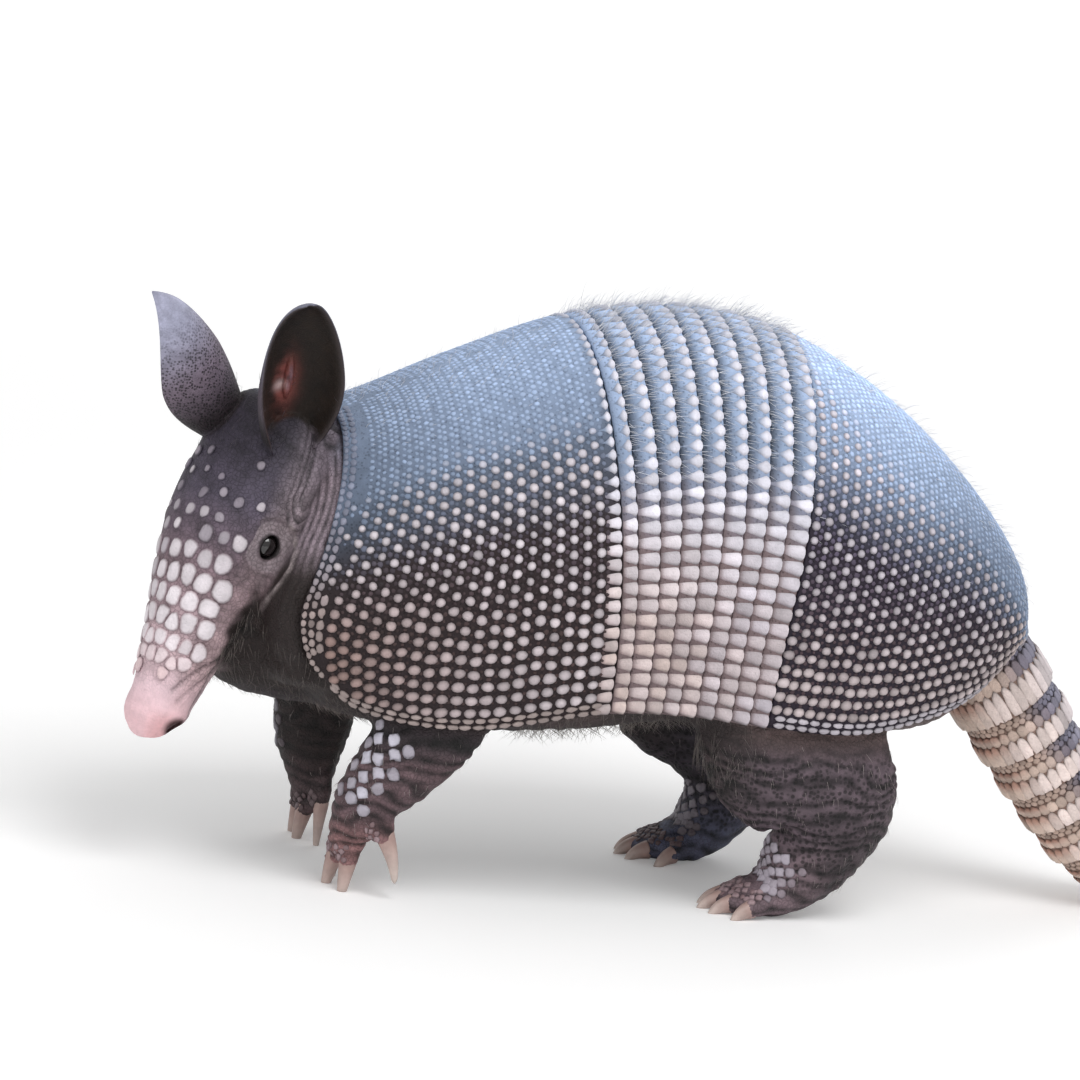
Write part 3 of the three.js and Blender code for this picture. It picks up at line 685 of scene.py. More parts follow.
def raised_scutes(name, k, a, at, axes):
    """A shield's scutes: low and blue-grey on its back, full and white down its flanks."""
    n, white, low = len(k), white_share(k, a), smooth(0.64, 0.90, np.abs(a))
    grown = np.interp(k, [0, 0.6, 1.6, 3, 5, 8, 9], [0.80, 0.92, 1.0, 1.0, 0.91, 0.89, 0.84])
    size = (0.95 + 0.74 * white ** 0.7 + 0.28 * low) * grown
    size = size * varied(0.055, n).clip(0.8, 1.16)
    height = (0.26 + 0.78 * white)[:, None, None]
    wobble = varied(0.08, n, 10)
    wobble = (wobble + np.roll(wobble, 1, 1)) / 2
    local, faces = dome([1.0, 0.95, 0.76, 0.48, 0.2], [0.0, 0.42, 0.80, 1.02, 1.12, 1.14], wobble)
    local = local * size[:, None, None] * [1, 1, 0] + local * height * [0, 0, 1]
    local[..., 2] += 0.22 * (1 - height[..., 0])
    local[..., 1] *= 1 + 0.16 * low[:, None]
    shade = scute_shade(k, a, varied(0.11, n).clip(0.6, 1.3))
    # painted shade: each scute darker towards its edge, with a painted highlight on top, fainter on the back
    ring = by_ring([0.26, 0.45, 0.74, 0.97, 1.06], 10) ** (0.25 + 0.75 * white)[:, None, None]
    piece = Sheet()
    piece.stamp((local, faces), at, axes, shade[:, None, :] * ring, map_place(k, a), 0.0009)
    piece.piece(name + "_scutes", SCUTE_LOOK, "shield")


def small_scales(name, k, a, at, axes, pitches, k1):
    """Small dark scales between the scutes, one at each gap of the stagger."""
    around, along, out = axes
    n, low = len(k), smooth(0.64, 0.90, np.abs(a))
    piece = Sheet()
    for dx, dy in ((0.5, 0.0), (0.25, 0.5), (-0.25, 0.5)):
        where = at + around * (dx * pitches[0]) + along * (dy * pitches[1])
        spin = rng.uniform(0, 6.28, n)
        ax = around * np.cos(spin)[:, None] + along * np.sin(spin)[:, None]
        local, faces = dome([1.0, 0.72], [0.0, 0.32, 0.42], varied(0.12, n, 6))
        grow = ((0.98 - 0.2 * low) * varied(0.15, n)).clip(0.55, 1.2)
        local = local * grow[:, None, None] * [1, 1, 0] + local * [0, 0, 1]
        dull = varied(0.20 - 0.10 * back_share(k, a), n).clip(0.4, 1.6)
        # painted shade at each scale's edge and a painted highlight on its top
        shade = small_shade(k, a, dull)[:, None, :] * by_ring([0.5, 1.0], 6, 1.12)
        keep = (np.abs(a) < 0.95) & (k < k1 - 0.02) & clear_of_rims(where, 1.5)
        piece.stamp((local, faces), where + out * 0.1, (ax, np.cross(out, ax), out), shade,
                    map_place(k, a) + np.array([dx, dy]) * 0.018, 0.0015, keep)
    piece.piece(name + "_small_scales", SMALL_LOOK, "shield")


def scute_pieces(name, k0, k1, pitch_around, pitch_along, margins):
    places = rosette_places(k0, k1, pitch_around, pitch_along, margins)
    k, a = places[clear_of_rims(shell_point(*places.T, -0.3), 2.6)].T
    at, axes = shell_point(k, a, -0.25), shell_axes(k, a)
    raised_scutes(name, k, a, at, axes)
    small_scales(name, k, a, at, axes, (pitch_around, pitch_along), k1)


base_plate("scapular_shell", SCAPULAR[0], SCAPULAR[1] - SLIT, 60, "shield", "scapular_shield")
base_plate("pelvic_shell", PELVIC[0] + SLIT, PELVIC[1], 70, "shield", "pelvic_shield")
scute_pieces("scapular", *SCAPULAR, 5.2, 4.75, (6.6, 7.4))
scute_pieces("pelvic", *PELVIC, 4.9, 4.5, (2.4, 4.2))

band_width = (BANDS[1] - BANDS[0]) / (BAND_COUNT - 1 + FIRST_BAND_SHARE)


def band_edge(i):
    return BANDS[0] if i == 0 else BANDS[0] + (i - 1 + FIRST_BAND_SHARE) * band_width


def band_rise(v):
    """A band dips under the one ahead of it, and rises to its own rear edge."""
    return -0.7 + 1.1 * v


def band_shade(a, v, shadow):
    """Colour of a band between its scutes: blue-grey with painted sky sheen above, painted shade by its front
    edge, brown below.
    """
    upper = mixed(SLATE * shadow * 1.1, SLATE * 1.28, smooth(0.02, 0.62, v)) * painted_sky_sheen(a)[:, None]
    return mixed([0.20, 0.145, 0.15], upper, 1 - smooth(0.42, 0.66, np.abs(a)))


# Width and height of a band's scute from its front edge, 0, to its rear one, 1: on the back and on the flank
BACK_WIDTH = [[0, 0.35, 0.62, 0.80, 0.93, 1.0], [0.08, 0.18, 0.55, 0.90, 0.92, 0.70]]
FLANK_WIDTH = [[0, 0.35, 0.62, 0.80, 0.93, 1.0], [0.78, 0.90, 0.965, 0.98, 0.98, 0.93]]
BACK_HEIGHT = [[0, 0.45, 0.72, 0.86, 0.95, 1.0], [0.08, 0.24, 0.78, 0.98, 0.70, 0.15]]
FLANK_HEIGHT = [[0, 0.2, 0.66, 0.86, 0.95, 1.0], [0.14, 0.32, 0.48, 0.64, 0.54, 0.22]]


def band_tone(v, u, crown, here, low, k0):
    """Colours of a band's scute: a pale bead on the back, or a tan tile on the flank, stained, with painted
    shade at its edges and off its crown.
    """
    keen = np.clip(varied(0.07 + 0.05 * low), 0.75, 1.25)
    warm = 1 + rng.uniform(-1, 1) * np.array([0.03, 0.0, -0.04])
    tan = mixed([0.70, 0.585, 0.57], [0.62, 0.55, 0.585], smooth(3.3, 4.5, k0))
    cream = mixed(BEAD, tan * warm, smooth(0.46, 0.84, here))
    # the front of a scute is blue-grey on the back; on the flank its dark brown is partly painted shadow of
    # the band ahead
    front = mixed(SLATE * 0.98, [0.33, 0.25, 0.25], low)
    pale = smooth(0.42 - 0.5 * low, 0.78 - 0.5 * low, v) * (0.68 + 0.32 * white_share(4.0, here))
    tone = mixed(front, cream, pale) * keen
    # stains on the flank's tiles, with painted shade on their lower side and painted shadow of the band ahead
    # at their front
    stain_and_shade = (0.40 + 0.60 * rng.uniform() ** 2) * smooth(0.1, 0.95, u) * smooth(1.0, 0.45, v)
    stain_and_shade = stain_and_shade + 0.5 * (1 - v) ** 3
    tone = mixed(tone, tone * np.array([0.50, 0.40, 0.42]), low * np.clip(stain_and_shade, 0, 1))
    # painted shadow along the lines between the rows of tiles
    tone = tone * (1 - low * (0.60 * smooth(0.62, 1.0, u) + 0.30 * smooth(-0.8, -1.0, u)))[..., None]
    # painted shade, falling off from each scute's crown
    return tone * ((0.40 - 0.05 * low) + (0.60 + 0.05 * low) * crown ** (0.9 - 0.40 * low))[..., None]


def band_scutes(k0, k1, shift, piece, lap, pitch=5.35):
    """One row of shingled scutes: a bead at the rear edge that tapers forwards, fuller down the flanks."""
    a, s = arc_table((k0 + k1) / 2)
    steps, stretch = even_steps(s[0] + 0.1, s[-1] - pitch / 2 - 0.15, pitch, shift)
    rows, columns = 9, 7
    v, u = grid(np.linspace(0, 1, rows), np.sin(np.pi / 2 * np.linspace(-1, 1, columns)))
    taper, full = np.interp(v, *BACK_WIDTH), np.interp(v, *FLANK_WIDTH)
    bead, flat = np.interp(v, *BACK_HEIGHT), np.interp(v, *FLANK_HEIGHT)
    rounded = np.clip(1 - np.abs(u) ** 2.6, 0, 1) ** 0.6
    tiled = np.clip(1 - np.abs((u + 0.45) / np.where(u > -0.45, 1.45, 0.55)) ** 3.4, 0, 1) ** 0.8
    for side in (-1, 1):
        for step in steps:
            here = np.interp(step, s, a)
            low = smooth(0.38, 0.66, here)
            half = pitch / 2 * (stretch if step > 0 else 1.0) * (taper + (full - taper) * low) * varied(0.012)
            at = np.interp(step + u * half, s, a)
            end = varied(0.015)
            scallop = (0.10 + 0.02 * low) * np.abs(u) ** 2.6 * smooth(0.55, 1.0, v)
            k = k0 + (k1 - k0) * (end * v - scallop) + SLIT
            crown = rounded + (tiled - rounded) * low
            high = lap * band_rise(v) - 0.22 + (bead + (flat - bead) * low) * crown + 0.12 * crown
            shade = band_tone(v, u, crown, here, low, k0)
            faces = grid_faces(rows, columns)[:, ::side]
            piece.add(shell_point(k, side * at, high), [faces], shade.reshape(-1, 3), map_place(k, side * at))


bands = Sheet()
for i in range(BAND_COUNT):
    k0, k1 = band_edge(i) + SLIT, band_edge(i + 1) - SLIT
    base_plate(f"band_shell_{i + 1}", k0, k1, 13, "band", f"band_{i + 1}", band_rise, 0.5,
               lambda k, a: band_shade(a, (k - k0) / (k1 - k0), 0.26 if i else 0.75))
    band_scutes(k0, k1, rng.uniform(-0.12, 0.12), bands, 1.0)
band_scutes(2.86, SCAPULAR[1] - 2 * SLIT, 0.5, bands, 0.0, 4.6)
bands.piece("band_scutes", SCUTE_LOOK, "band")


# ---------------------------------------------------------------- flesh
def lofted(rings):
    """Closed body through rings (r, n, 3), with a middle point on each end."""
    r, n = rings.shape[:2]
    co = np.concatenate([rings.reshape(-1, 3), rings[0].mean(0)[None], rings[-1].mean(0)[None]])
    j = np.arange(n)
    after = (j + 1) % n
    last = (r - 1) * n
    ends = [np.stack([after, j, np.full(n, r * n)], -1),
            np.stack([last + j, last + after, np.full(n, r * n + 1)], -1)]
    return co, [grid_faces(r, n, True), *ends]


def path_frame(stations, t):
    last = len(stations) - 1
    p = between(stations, t)
    way = between(stations, np.minimum(t + 0.05, last)) - between(stations, np.maximum(t - 0.05, 0))
    forward = unit(way[..., :3])
    across = unit(np.array([1.0, 0, 0]) - forward * forward[..., :1])
    return p, forward, across, np.cross(forward, across)


def ring_points(centre, across, deep, width, depth, angle):
    """Points of ellipses at the centres (r, 3): (r, n, 3)."""
    centre, across, deep = centre[:, None], across[:, None], deep[:, None]
    width, depth = width[:, None, None], depth[:, None, None]
    cos, sin = np.cos(angle)[None, :, None], np.sin(angle)[None, :, None]
    return centre + across * width * cos + deep * depth * sin


CAP_SIZES = np.array([0.30, 0.62, 0.88])


def tube_rings(stations, sides, count, t0=0.0, t1=None, round_ends=(0.0, 0.0)):
    """Rings along a path. round_ends says how far each end bulges, in shares of its radius."""
    stations = np.asarray(stations, float)
    t = np.linspace(t0, len(stations) - 1 if t1 is None else t1, count)
    p, forward, across, deep = path_frame(stations, t)
    # a row for each ring: its centre, its two axes, its two radii and its size
    rows = np.concatenate([p[:, :3], across, deep, p[:, 3:4], p[:, -1:], np.ones((count, 1))], 1)
    for end, way, bulge in ((0, -1, round_ends[0]), (-1, 1, round_ends[1])):
        if bulge:
            cap = np.repeat(rows[end][None], len(CAP_SIZES), 0)
            reach = bulge * min(p[end, 3], p[end, -1]) * np.sqrt(1 - CAP_SIZES**2)
            cap[:, :3] += forward[end] * way * reach[:, None]
            cap[:, -1] = CAP_SIZES
            rows = np.concatenate([cap, rows] if end == 0 else [rows, cap[::-1]])
    width, depth, size = rows[:, 9:].T
    return ring_points(rows[:, :3], rows[:, 3:6], rows[:, 6:9], size * width, size * depth, turns(sides, 0.5))


def sagging(ring, count, fall):
    """The ring, closed from its left end to its right one by points that sag below them by the fall."""
    angle = np.pi * np.arange(1, count) / count
    share = ((1 - np.cos(angle)) / 2)[:, None]
    under = ring[-1] * (1 - share) + ring[0] * share
    under[:, 2] = ring[-1, 2] - fall * np.sin(angle) ** 0.7
    return np.concatenate([ring, under])


def resized(ring, size):
    return ring.mean(0) + (ring - ring.mean(0)) * size


def trunk_rings():
    first, last = 0.42, 8.55
    ks = np.linspace(first, last, 46)
    rings = []
    for k, low_z in zip(ks, between(BELLY_Z, ks)[:, 0]):
        close = 1 - 0.25 * bump(k, first, 0.15) - 0.25 * bump(k, last, 0.15)
        ring = shell_point(k, TRUNK_EDGE * np.linspace(-1, 1, 61), -4.4)
        rings.append(resized(sagging(ring, 26, ring[-1, 2] - low_z), close))
    return np.array(rings)


# The loose skin at the shell's front: hoop, how far ahead of it, how far in and its size
COLLAR = ((0.5, 0, 4.5, 0.97), (0.25, 0, 4.2, 1.0), (0.06, 0, 3.6, 1.0), (0.0, 1.6, 1.6, 1.0),
          (0.0, 4.5, 2.2, 0.99), (0.0, 8.5, 4.8, 0.95), (0.0, 12.5, 10.0, 0.87), (0.0, 15.5, 18.0, 0.74))


def collar_rings():
    """Loose skin that fills the front of the shell and tapers on to the neck."""
    rings = []
    a = np.linspace(-0.97, 0.97, 61)
    for hoop, ahead, inset, size in COLLAR:
        k = np.full(61, hoop)
        around, along, out = shell_axes(k, a)
        ring = on_shell(k, a) - along * ahead - out * inset
        rings.append(resized(sagging(ring, 30, (ring[-1, 2] - 62) * 0.8), size))
    return np.array(rings)


def head_rings():
    station, angle = grid(np.linspace(0, 10, 60), turns(56, 0.5))
    rings = head_point(station, angle, 0 * angle)
    tip = [resized(rings[-1], s) + F * d for d, s in ((1.6, 0.93), (3.2, 0.76), (4.3, 0.46))]
    back = [resized(rings[0], s) - F * d for d, s in ((2.5, 0.4), (1.5, 0.75))]
    return np.concatenate([np.array(back), rings, np.array(tip)])


def toe_path(start, end, wide, narrow):
    middle = (start + end) / 2
    return [[*start, wide], [*middle, wide], [*end, narrow]]


def flesh():
    """The body under its shell, as overlapping forms that the remesh joins."""
    shapes = [trunk_rings(), collar_rings(), tube_rings(NECK, 48, 24), head_rings()]
    for limb, (path, toes) in LIMBS.items():
        path = np.array(path, float)
        fore = limb.startswith("fore")
        if fore:
            # the palm narrows early, so that its toes part
            path[-1, 3:] *= 0.58
            path[-2, 3:] *= 0.86
        shapes.append(tube_rings(path, 36, 8 * len(path), round_ends=(0.3, 0.75)))
        for start, end, wide, narrow in toes:
            start, end = np.array(start, float), np.array(end, float)
            if fore:
                start = start + (start - end) * 0.7
            shapes.append(tube_rings(toe_path(start, end, wide, narrow), 20, 12, round_ends=(0.6, 0.7)))
    body = Sheet()
    for rings in shapes:
        body.add(*lofted(rings), [0, 0, 0])
    return made_of("skin", np.concatenate(body.co), body.faces)


def made_of(name, co, faces):
    """A piece of points and lists of faces, still in the body's own mm."""
    mesh = bpy.data.meshes.new(name)
    mesh.from_pydata(co.tolist(), [], [f for part in faces for f in part.tolist()])
    return linked(bpy.data.objects.new(name, mesh))


def points_of(mesh):
    co = np.empty(len(mesh.vertices) * 3, np.float32)
    mesh.vertices.foreach_get("co", co)
    return co.reshape(-1, 3).astype(float)


def normals_of(mesh):
    out = np.empty(len(mesh.vertices) * 3, np.float32)
    mesh.vertex_normals.foreach_get("vector", out)
    return out.reshape(-1, 3).astype(float)


def set_points(mesh, co):
    mesh.vertices.foreach_set("co", np.asarray(co, np.float32).ravel())
    mesh.update()


def applied(piece, kind, **settings):
    """Applies one modifier to the piece's mesh."""
    modifier = piece.modifiers.new(kind, kind)
    for key, value in settings.items():
        setattr(modifier, key, value)
    bpy.context.view_layer.update()
    got = piece.evaluated_get(bpy.context.evaluated_depsgraph_get())
    mesh = bpy.data.meshes.new_from_object(got)
    piece.modifiers.clear()
    piece.data = mesh


def cloud(p, size, seed):
    """Smooth noise, about -1 to 1, with features of that size in mm."""
    local = np.random.default_rng(seed)
    total = np.zeros(len(p))
    for _ in range(10):
        way = unit(local.standard_normal(3))
        total += np.sin(p @ way * (2 * np.pi / size) * local.uniform(0.6, 1.4) + local.uniform(0, 6.28))
    return total / 3.2


def head_coords(p):
    """Along the head, angle round it from the brow, and the share of the way out to its skin."""
    along, left, out = head_place(p)
    table = between(HEAD_STATIONS, np.linspace(0, 10, 200))
    width, up, down = (np.interp(along, table[:, 0], table[:, i]) for i in (1, 2, 3))
    deep = np.where(out > 0, up, down)
    reach = np.hypot(left / width, out / deep)
    tip = (along > 97) & (np.hypot(left, out) < 20)
    return along, np.arctan2(left / width, out / deep), np.where(tip, np.minimum(reach, 1.0), reach)


def tree_of(points):
    tree = kdtree.KDTree(len(points))
    for i, point in enumerate(points):
        tree.insert(point, i)
    tree.balance()
    return tree


shell_k, shell_a = (v.ravel() for v in grid(np.linspace(0, LAST_HOOP, 181), np.linspace(-1, 1, 201)))
shell_at, shell_out = on_shell(shell_k, shell_a), shell_axes(shell_k, shell_a)[2]
shell_tree = tree_of(shell_at)


def near_shell(p):
    """The nearest place of the shell to each point, how high over it the point is, and how far aside."""
    nearest = np.array([shell_tree.find(q)[1] for q in p])
    d = p - shell_at[nearest]
    high = (d * shell_out[nearest]).sum(1)
    return nearest, high, np.linalg.norm(d - shell_out[nearest] * high[:, None], axis=1)


def under_shell(p, clear=3.3):
    """Draws points in so that they stay inside the shell, and lets them out again away from its rims. The
    second value says how far ahead of the shell each point is."""
    nearest, high, aside = near_shell(p)
    ahead = np.where(shell_k[nearest] < 0.01, aside, FAR)
    free = np.where(ahead < FAR, 2.0 * np.maximum(aside - 0.5, 0), 0.75 * np.maximum(aside - 1.2, 0))
    too_high = np.maximum(high - (free - clear), 0)
    moved = p - shell_out[nearest] * too_high[:, None] * (aside < 16)[:, None]
    return moved, ahead


def coarser_inside(piece):
    """Leaves few faces where the shell covers the hide."""
    nearest, high, aside = near_shell(points_of(piece.data))
    k, a = shell_k[nearest], np.abs(shell_a[nearest])
    covered = (aside < 1.5) & (high > -9) & (a < 0.82) & (k > 0.4) & (k < 8.5)
    group = piece.vertex_groups.new(name="covered")
    group.add(np.nonzero(covered)[0].tolist(), 1.0, "REPLACE")
    applied(piece, "DECIMATE", ratio=1 - 0.9 * covered.mean(), vertex_group="covered")
    piece.vertex_groups.clear()


def finer(piece, chosen):
    """Cuts each edge of the piece whose ends are both chosen."""
    work = bmesh.new()
    work.from_mesh(piece.data)
    work.verts.ensure_lookup_table()
    pick = chosen(np.array([v.co for v in work.verts]))
    edges = [e for e in work.edges if pick[e.verts[0].index] and pick[e.verts[1].index]]
    bmesh.ops.subdivide_edges(work, edges=edges, cuts=1, use_grid_fill=True, smooth=0.0)
    work.to_mesh(piece.data)
    work.free()


def fold(x, sharp=3.0):
    """Rounded ridges with narrow creases between them: 0 in a crease, 1 on a ridge."""
    return 1 - np.abs(np.cos(np.pi * x)) ** sharp


def on_face(p):
    """1 on the skin of the head, 0 on the neck and beyond."""
    along, angle, reach = head_coords(p)
    return smooth(1.40, 1.16, reach) * smooth(-18, -7, along)


def eye_reach(p):
    """Distance from the middle of the nearer eye's opening."""
    reach = np.full(len(p), FAR)
    for side in (1, -1):
        x, y, z = ((p - eye_at(side)) @ axis for axis in eye_axes(side))
        reach = np.minimum(reach, np.where(np.abs(z) < 9, np.hypot(x / 1.12, y), FAR))
    return reach


# Angle round the head of the jaw's line, by the place along the head
JAW_LINE = np.array([[20, 29, 35, 43, 51, 60, 70], [84, 95, 112, 124, 127, 128, 130]])


def face_folds(along, angle):
    """Folds of the cheek, behind the eye and down to the jaw: their height, 0 to 1, and their weight."""
    turn = np.degrees(np.abs(angle))
    behind = (turn - np.interp(along, *JAW_LINE)) * math.pi / 180 * head_size(along)[0]
    weight = smooth(-9, -4, behind) * smooth(18, 25, along) * smooth(72, 60, along)
    back = smooth(60, 78, turn) * smooth(26, 16, along)
    return fold(behind / 2.9 + 0.5), np.maximum(weight, back)


def leg_wrinkles(p):
    return fold(p[:, 2] / 5.0 + 0.45 * cloud(p, 18, 2))


def neck_wrinkles(ahead, p):
    return fold(ahead / 2.7 + 0.24 * cloud(p, 26, 1))


# A raised crest where the cheek meets the neck, with a painted highlight along it: along the head, left of it
# and out of it, in mm
CHEEK_CREST = np.array([[29.3, 24.6, 0.5], [36.1, 33.8, 4.4], [42.7, 34.5, 5.0], [48.1, 32.5, 4.8],
                        [53.3, 28.7, 2.2], [57.5, 23.0, -3.0]])


def crest_reach(p):
    """Distance of each point from the crest of its own cheek."""
    along, left, out = head_place(p)
    place = np.stack([along, np.abs(left), out], -1)
    best = np.full(len(p), FAR)
    for start, stop in zip(CHEEK_CREST[:-1], CHEEK_CREST[1:]):
        way = stop - start
        t = np.clip((place - start) @ way / (way @ way), 0, 1)
        best = np.minimum(best, np.linalg.norm(place - start - t[:, None] * way, axis=1))
    return best


# The mouth's line and the lip's two creases: places along the head, their angles round it, and the depth
MOUTH_LINES = (((66, 76, 88, 100), (112, 114, 120, 126), 1.1), ((78, 82, 87.5, 94), (112, 92, 73, 54), 0.8),
               ((84, 90, 97), (112, 92, 72), 0.5))


def mouth_lines(along, angle, aside, width):
    """Depth of the mouth's line and the lip's creases, at a distance aside from them in mm."""
    turn, side = np.degrees(np.abs(angle)), head_size(along)[0]
    deep = 0 * along
    for places, angles, depth in MOUTH_LINES:
        off = (turn - np.interp(along, places, angles)) * math.pi / 180 * side
        there = smooth(places[0] - 4, places[0] + 2, along) * smooth(places[-1] + 2, places[-1] - 1, along)
        deep = deep + there * depth * bump(off, aside, width)
    return deep


def relief(co, along, angle, near_head):
    """How far the skin stands out for its folds, wrinkles and lines, in mm."""
    ahead = under_shell(co)[1]
    wave, from_eye = cloud(co, 26, 1), eye_reach(co)
    ridge, weight = face_folds(along + 1.2 * wave, angle + 0.05 * wave)
    lift = 0.75 * (ridge - 0.6) * weight * near_head * smooth(8.5, 11, from_eye)
    lid = smooth(7.0, 8.2, from_eye) * smooth(14, 10.5, from_eye)
    lift += 0.45 * (fold(from_eye / 2.7 + 0.3) - 0.6) * near_head * lid
    neck = (ahead < 34) * (1 - near_head) * smooth(66, 76, co[:, 2])
    lift += 0.42 * (neck_wrinkles(ahead, co) - 0.6) * neck
    lift += 0.5 * bump(crest_reach(co), 0, 1.5)
    # legs: shallow level wrinkles
    legs = smooth(64, 54, co[:, 2]) * smooth(3, 9, co[:, 2]) * (1 - near_head)
    lift += 0.70 * (leg_wrinkles(co) - 0.6) * legs * (0.6 + 0.4 * smooth(-0.3, 0.5, cloud(co, 30, 4)))
    lift += 0.20 * cloud(co, 5.5, 3) * (1 - near_head * 0.75)
    lips = mouth_lines(along, angle, 1.7, 1.2) * 0.4 - mouth_lines(along, angle, 0.0, 0.75)
    return lift + near_head * lips


skin = flesh()
applied(skin, "REMESH", mode="VOXEL", voxel_size=1.8)
applied(skin, "SMOOTH", factor=0.5, iterations=8)
set_points(skin.data, under_shell(points_of(skin.data))[0])
applied(skin, "SMOOTH", factor=0.5, iterations=2)
coarser_inside(skin)
finer(skin, lambda p: on_face(p) > 0.3)
finer(skin, lambda p: eye_reach(p) < 12)
finer(skin, lambda p: (p[:, 0] > 20) & (p[:, 2] < 64) & (p[:, 2] > 5) & (on_face(p) < 0.05))
finer(skin, lambda p: (under_shell(p)[1] < 26) & (p[:, 2] > 96) & (on_face(p) < 0.25))
co = points_of(skin.data)
along, angle, reach = head_coords(co)
near_head = on_face(co)
co = co + normals_of(skin.data) * relief(co, along, angle, near_head)[:, None]
# nose: its pad is broader than the muzzle behind it, and blunt
forward, left, out = head_place(co)
pad = 1 + 0.13 * smooth(96, 104, along) * near_head
slant = 0.30 * np.clip(out, -8, 8) * smooth(99, 107, along)
co = np.where((near_head > 0.5)[:, None], in_head(forward + slant, left * pad, out * pad), co)
co[:, 2] = np.maximum(co[:, 2], 0.05)
set_points(skin.data, co)

# How the ear on each side narrows: the power of its taper along it and across it
EAR_TAPER = {1: (2.1, 0.62), -1: (1.7, 0.92)}


def ear(side):
    """A leaf rolled into a cup, with a thick rim: its outer points, the way out of them, its thickness, and
    places along and across it."""
    back, spread = EAR_LEAN[side]
    lean = -F * math.cos(back) + N * math.sin(back)
    axis = lean * math.cos(spread) + L * side * math.sin(spread)
    opening = L * side * 0.9 + N * 0.43
    opening = unit(opening - axis * (opening @ axis))
    across = np.cross(axis, opening)
    foot = in_head(0.0, side * EAR_APART, 8.0)
    v, u = grid(np.linspace(-0.04, 1, 46), np.linspace(0, 1, 40))
    swell = 0.62 + 0.38 * np.sin(np.pi * np.minimum(1.1 * v, 0.5))
    taper = np.maximum(1 - np.maximum((v - 0.4) / 0.605, 0) ** EAR_TAPER[side][0], 0)
    half = EAR_WIDTH / 2 * swell * taper ** EAR_TAPER[side][1]
    roll = EAR_ROLL[0] + (EAR_ROLL[1] - EAR_ROLL[0]) * v
    around = roll * (2 * u - 1)
    radius = np.maximum(half / np.sin(np.minimum(roll, np.pi / 2)), 0.05)
    line = foot + axis * (EAR_LENGTH * v)[..., None]
    middle = (line + across * (radius * np.sin(around))[..., None]
              + opening * (half / 2 - radius * np.cos(around))[..., None])
    out = unit(np.cross(np.gradient(middle, axis=1), np.gradient(middle, axis=0)))
    centre = line + opening * (half / 2)[..., None]
    flip = np.sign(((middle - centre) * out).sum(-1, keepdims=True))
    out = out * np.where(flip == 0, 1, flip)
    edge = np.minimum(np.minimum(u, 1 - u) * 14, (1 - v) * 14)
    thick = EAR_THICK * (0.30 + 0.70 * np.sqrt(np.clip(edge, 0, 1)))
    return middle, out, thick, v, u


def both_faces(middle, out, thick):
    """The points of a plate's outer face, and then of its inner one."""
    return np.stack([middle, middle - out * thick[..., None]]).reshape(-1, 3)


def tool_of(name, co, faces):
    """A closed body whose faces all look outwards."""
    made = made_of(name, co, faces)
    work = bmesh.new()
    work.from_mesh(made.data)
    bmesh.ops.recalc_face_normals(work, faces=work.faces)
    work.to_mesh(made.data)
    work.free()
    return made


def ball(centre, axes, radii, name="tool"):
    """An ellipsoid along three axes."""
    rows, columns = 24, 40
    polar, turn = grid(np.linspace(0, np.pi, rows + 2)[1:-1], turns(columns))
    local = np.stack([np.sin(polar) * np.cos(turn), np.sin(polar) * np.sin(turn), np.cos(polar)], -1)
    poles = np.array([[0, 0, 1.0], [0, 0, -1.0]])
    co = centre + np.concatenate([local.reshape(-1, 3), poles]) * radii @ np.array(axes)
    n = rows * columns
    j = np.arange(columns)
    after = (j + 1) % columns
    ends = [np.stack([after, j, np.full(columns, n)], -1),
            np.stack([n - columns + j, n - columns + after, np.full(columns, n + 1)], -1)]
    return tool_of(name, co, [grid_faces(rows, columns, True), *ends])


def combine(piece, tool, operation):
    applied(piece, "BOOLEAN", object=tool, operation=operation, solver="MANIFOLD")
    bpy.data.objects.remove(tool)


for side in (1, -1):
    middle, out, thick, v, u = ear(side)
    combine(skin, tool_of("ear_tool", both_faces(middle, out, thick), plate_faces(*v.shape)), "UNION")
    # a fold of gristle inside the ear
    fold_at = (middle - out * (thick[..., None] + 0.2))[17, 20]
    axis, out = unit(middle[26, 20] - middle[8, 20]), out[17, 20]
    combine(skin, ball(fold_at, (axis, np.cross(axis, out), out), [9.0, 1.7, 1.5]), "UNION")
    # the lids, the socket and the slot between the lids
    eye, axes = eye_at(side), eye_axes(side)
    combine(skin, ball(eye, axes, [6.9, 6.0, 4.9]), "UNION")
    combine(skin, ball(eye, axes, [4.55, 4.55, 4.55]), "DIFFERENCE")
    combine(skin, ball(eye + axes[2] * 4.0, axes, [4.3, 3.3, 6.0]), "DIFFERENCE")
    # the nostril
    drill = unit(L * side * 0.85 + F * 0.4 - N * 0.25)
    cross = unit(np.cross(drill, F))
    axes = (drill, cross, np.cross(drill, cross))
    combine(skin, ball(in_head(104.6, side * 8.2, -1.8), axes, [4.0, 2.1, 3.3]), "DIFFERENCE")

# Colours of the head's bare skin by the place along it, on its top and on its sides
FACE_ALONG = [-14, 8, 28, 42, 56, 70, 84, 95, 108]
FACE_TOP = np.array([[.018, .015, .020], [.050, .041, .062], [.076, .062, .092], [.140, .102, .132],
                     [.26, .18, .205], [.40, .285, .315], [.56, .41, .44], [.79, .58, .63], [.90, .60, .64]])
FACE_SIDE = np.array([[.11, .09, .115], [.17, .14, .165], [.23, .185, .205], [.27, .205, .225],
                      [.33, .235, .255], [.42, .30, .32], [.54, .38, .40], [.77, .54, .58], [.88, .56, .59]])
# Angle round the head where its throat turns dark, with dark hair and painted shade under the head, by the
# place along it
THROAT_LINE = [[20, 30, 38, 44, 50, 60, 66, 72, 78, 84, 90],
               [142, 134, 118, 100, 88, 87, 89, 97, 112, 136, 175]]


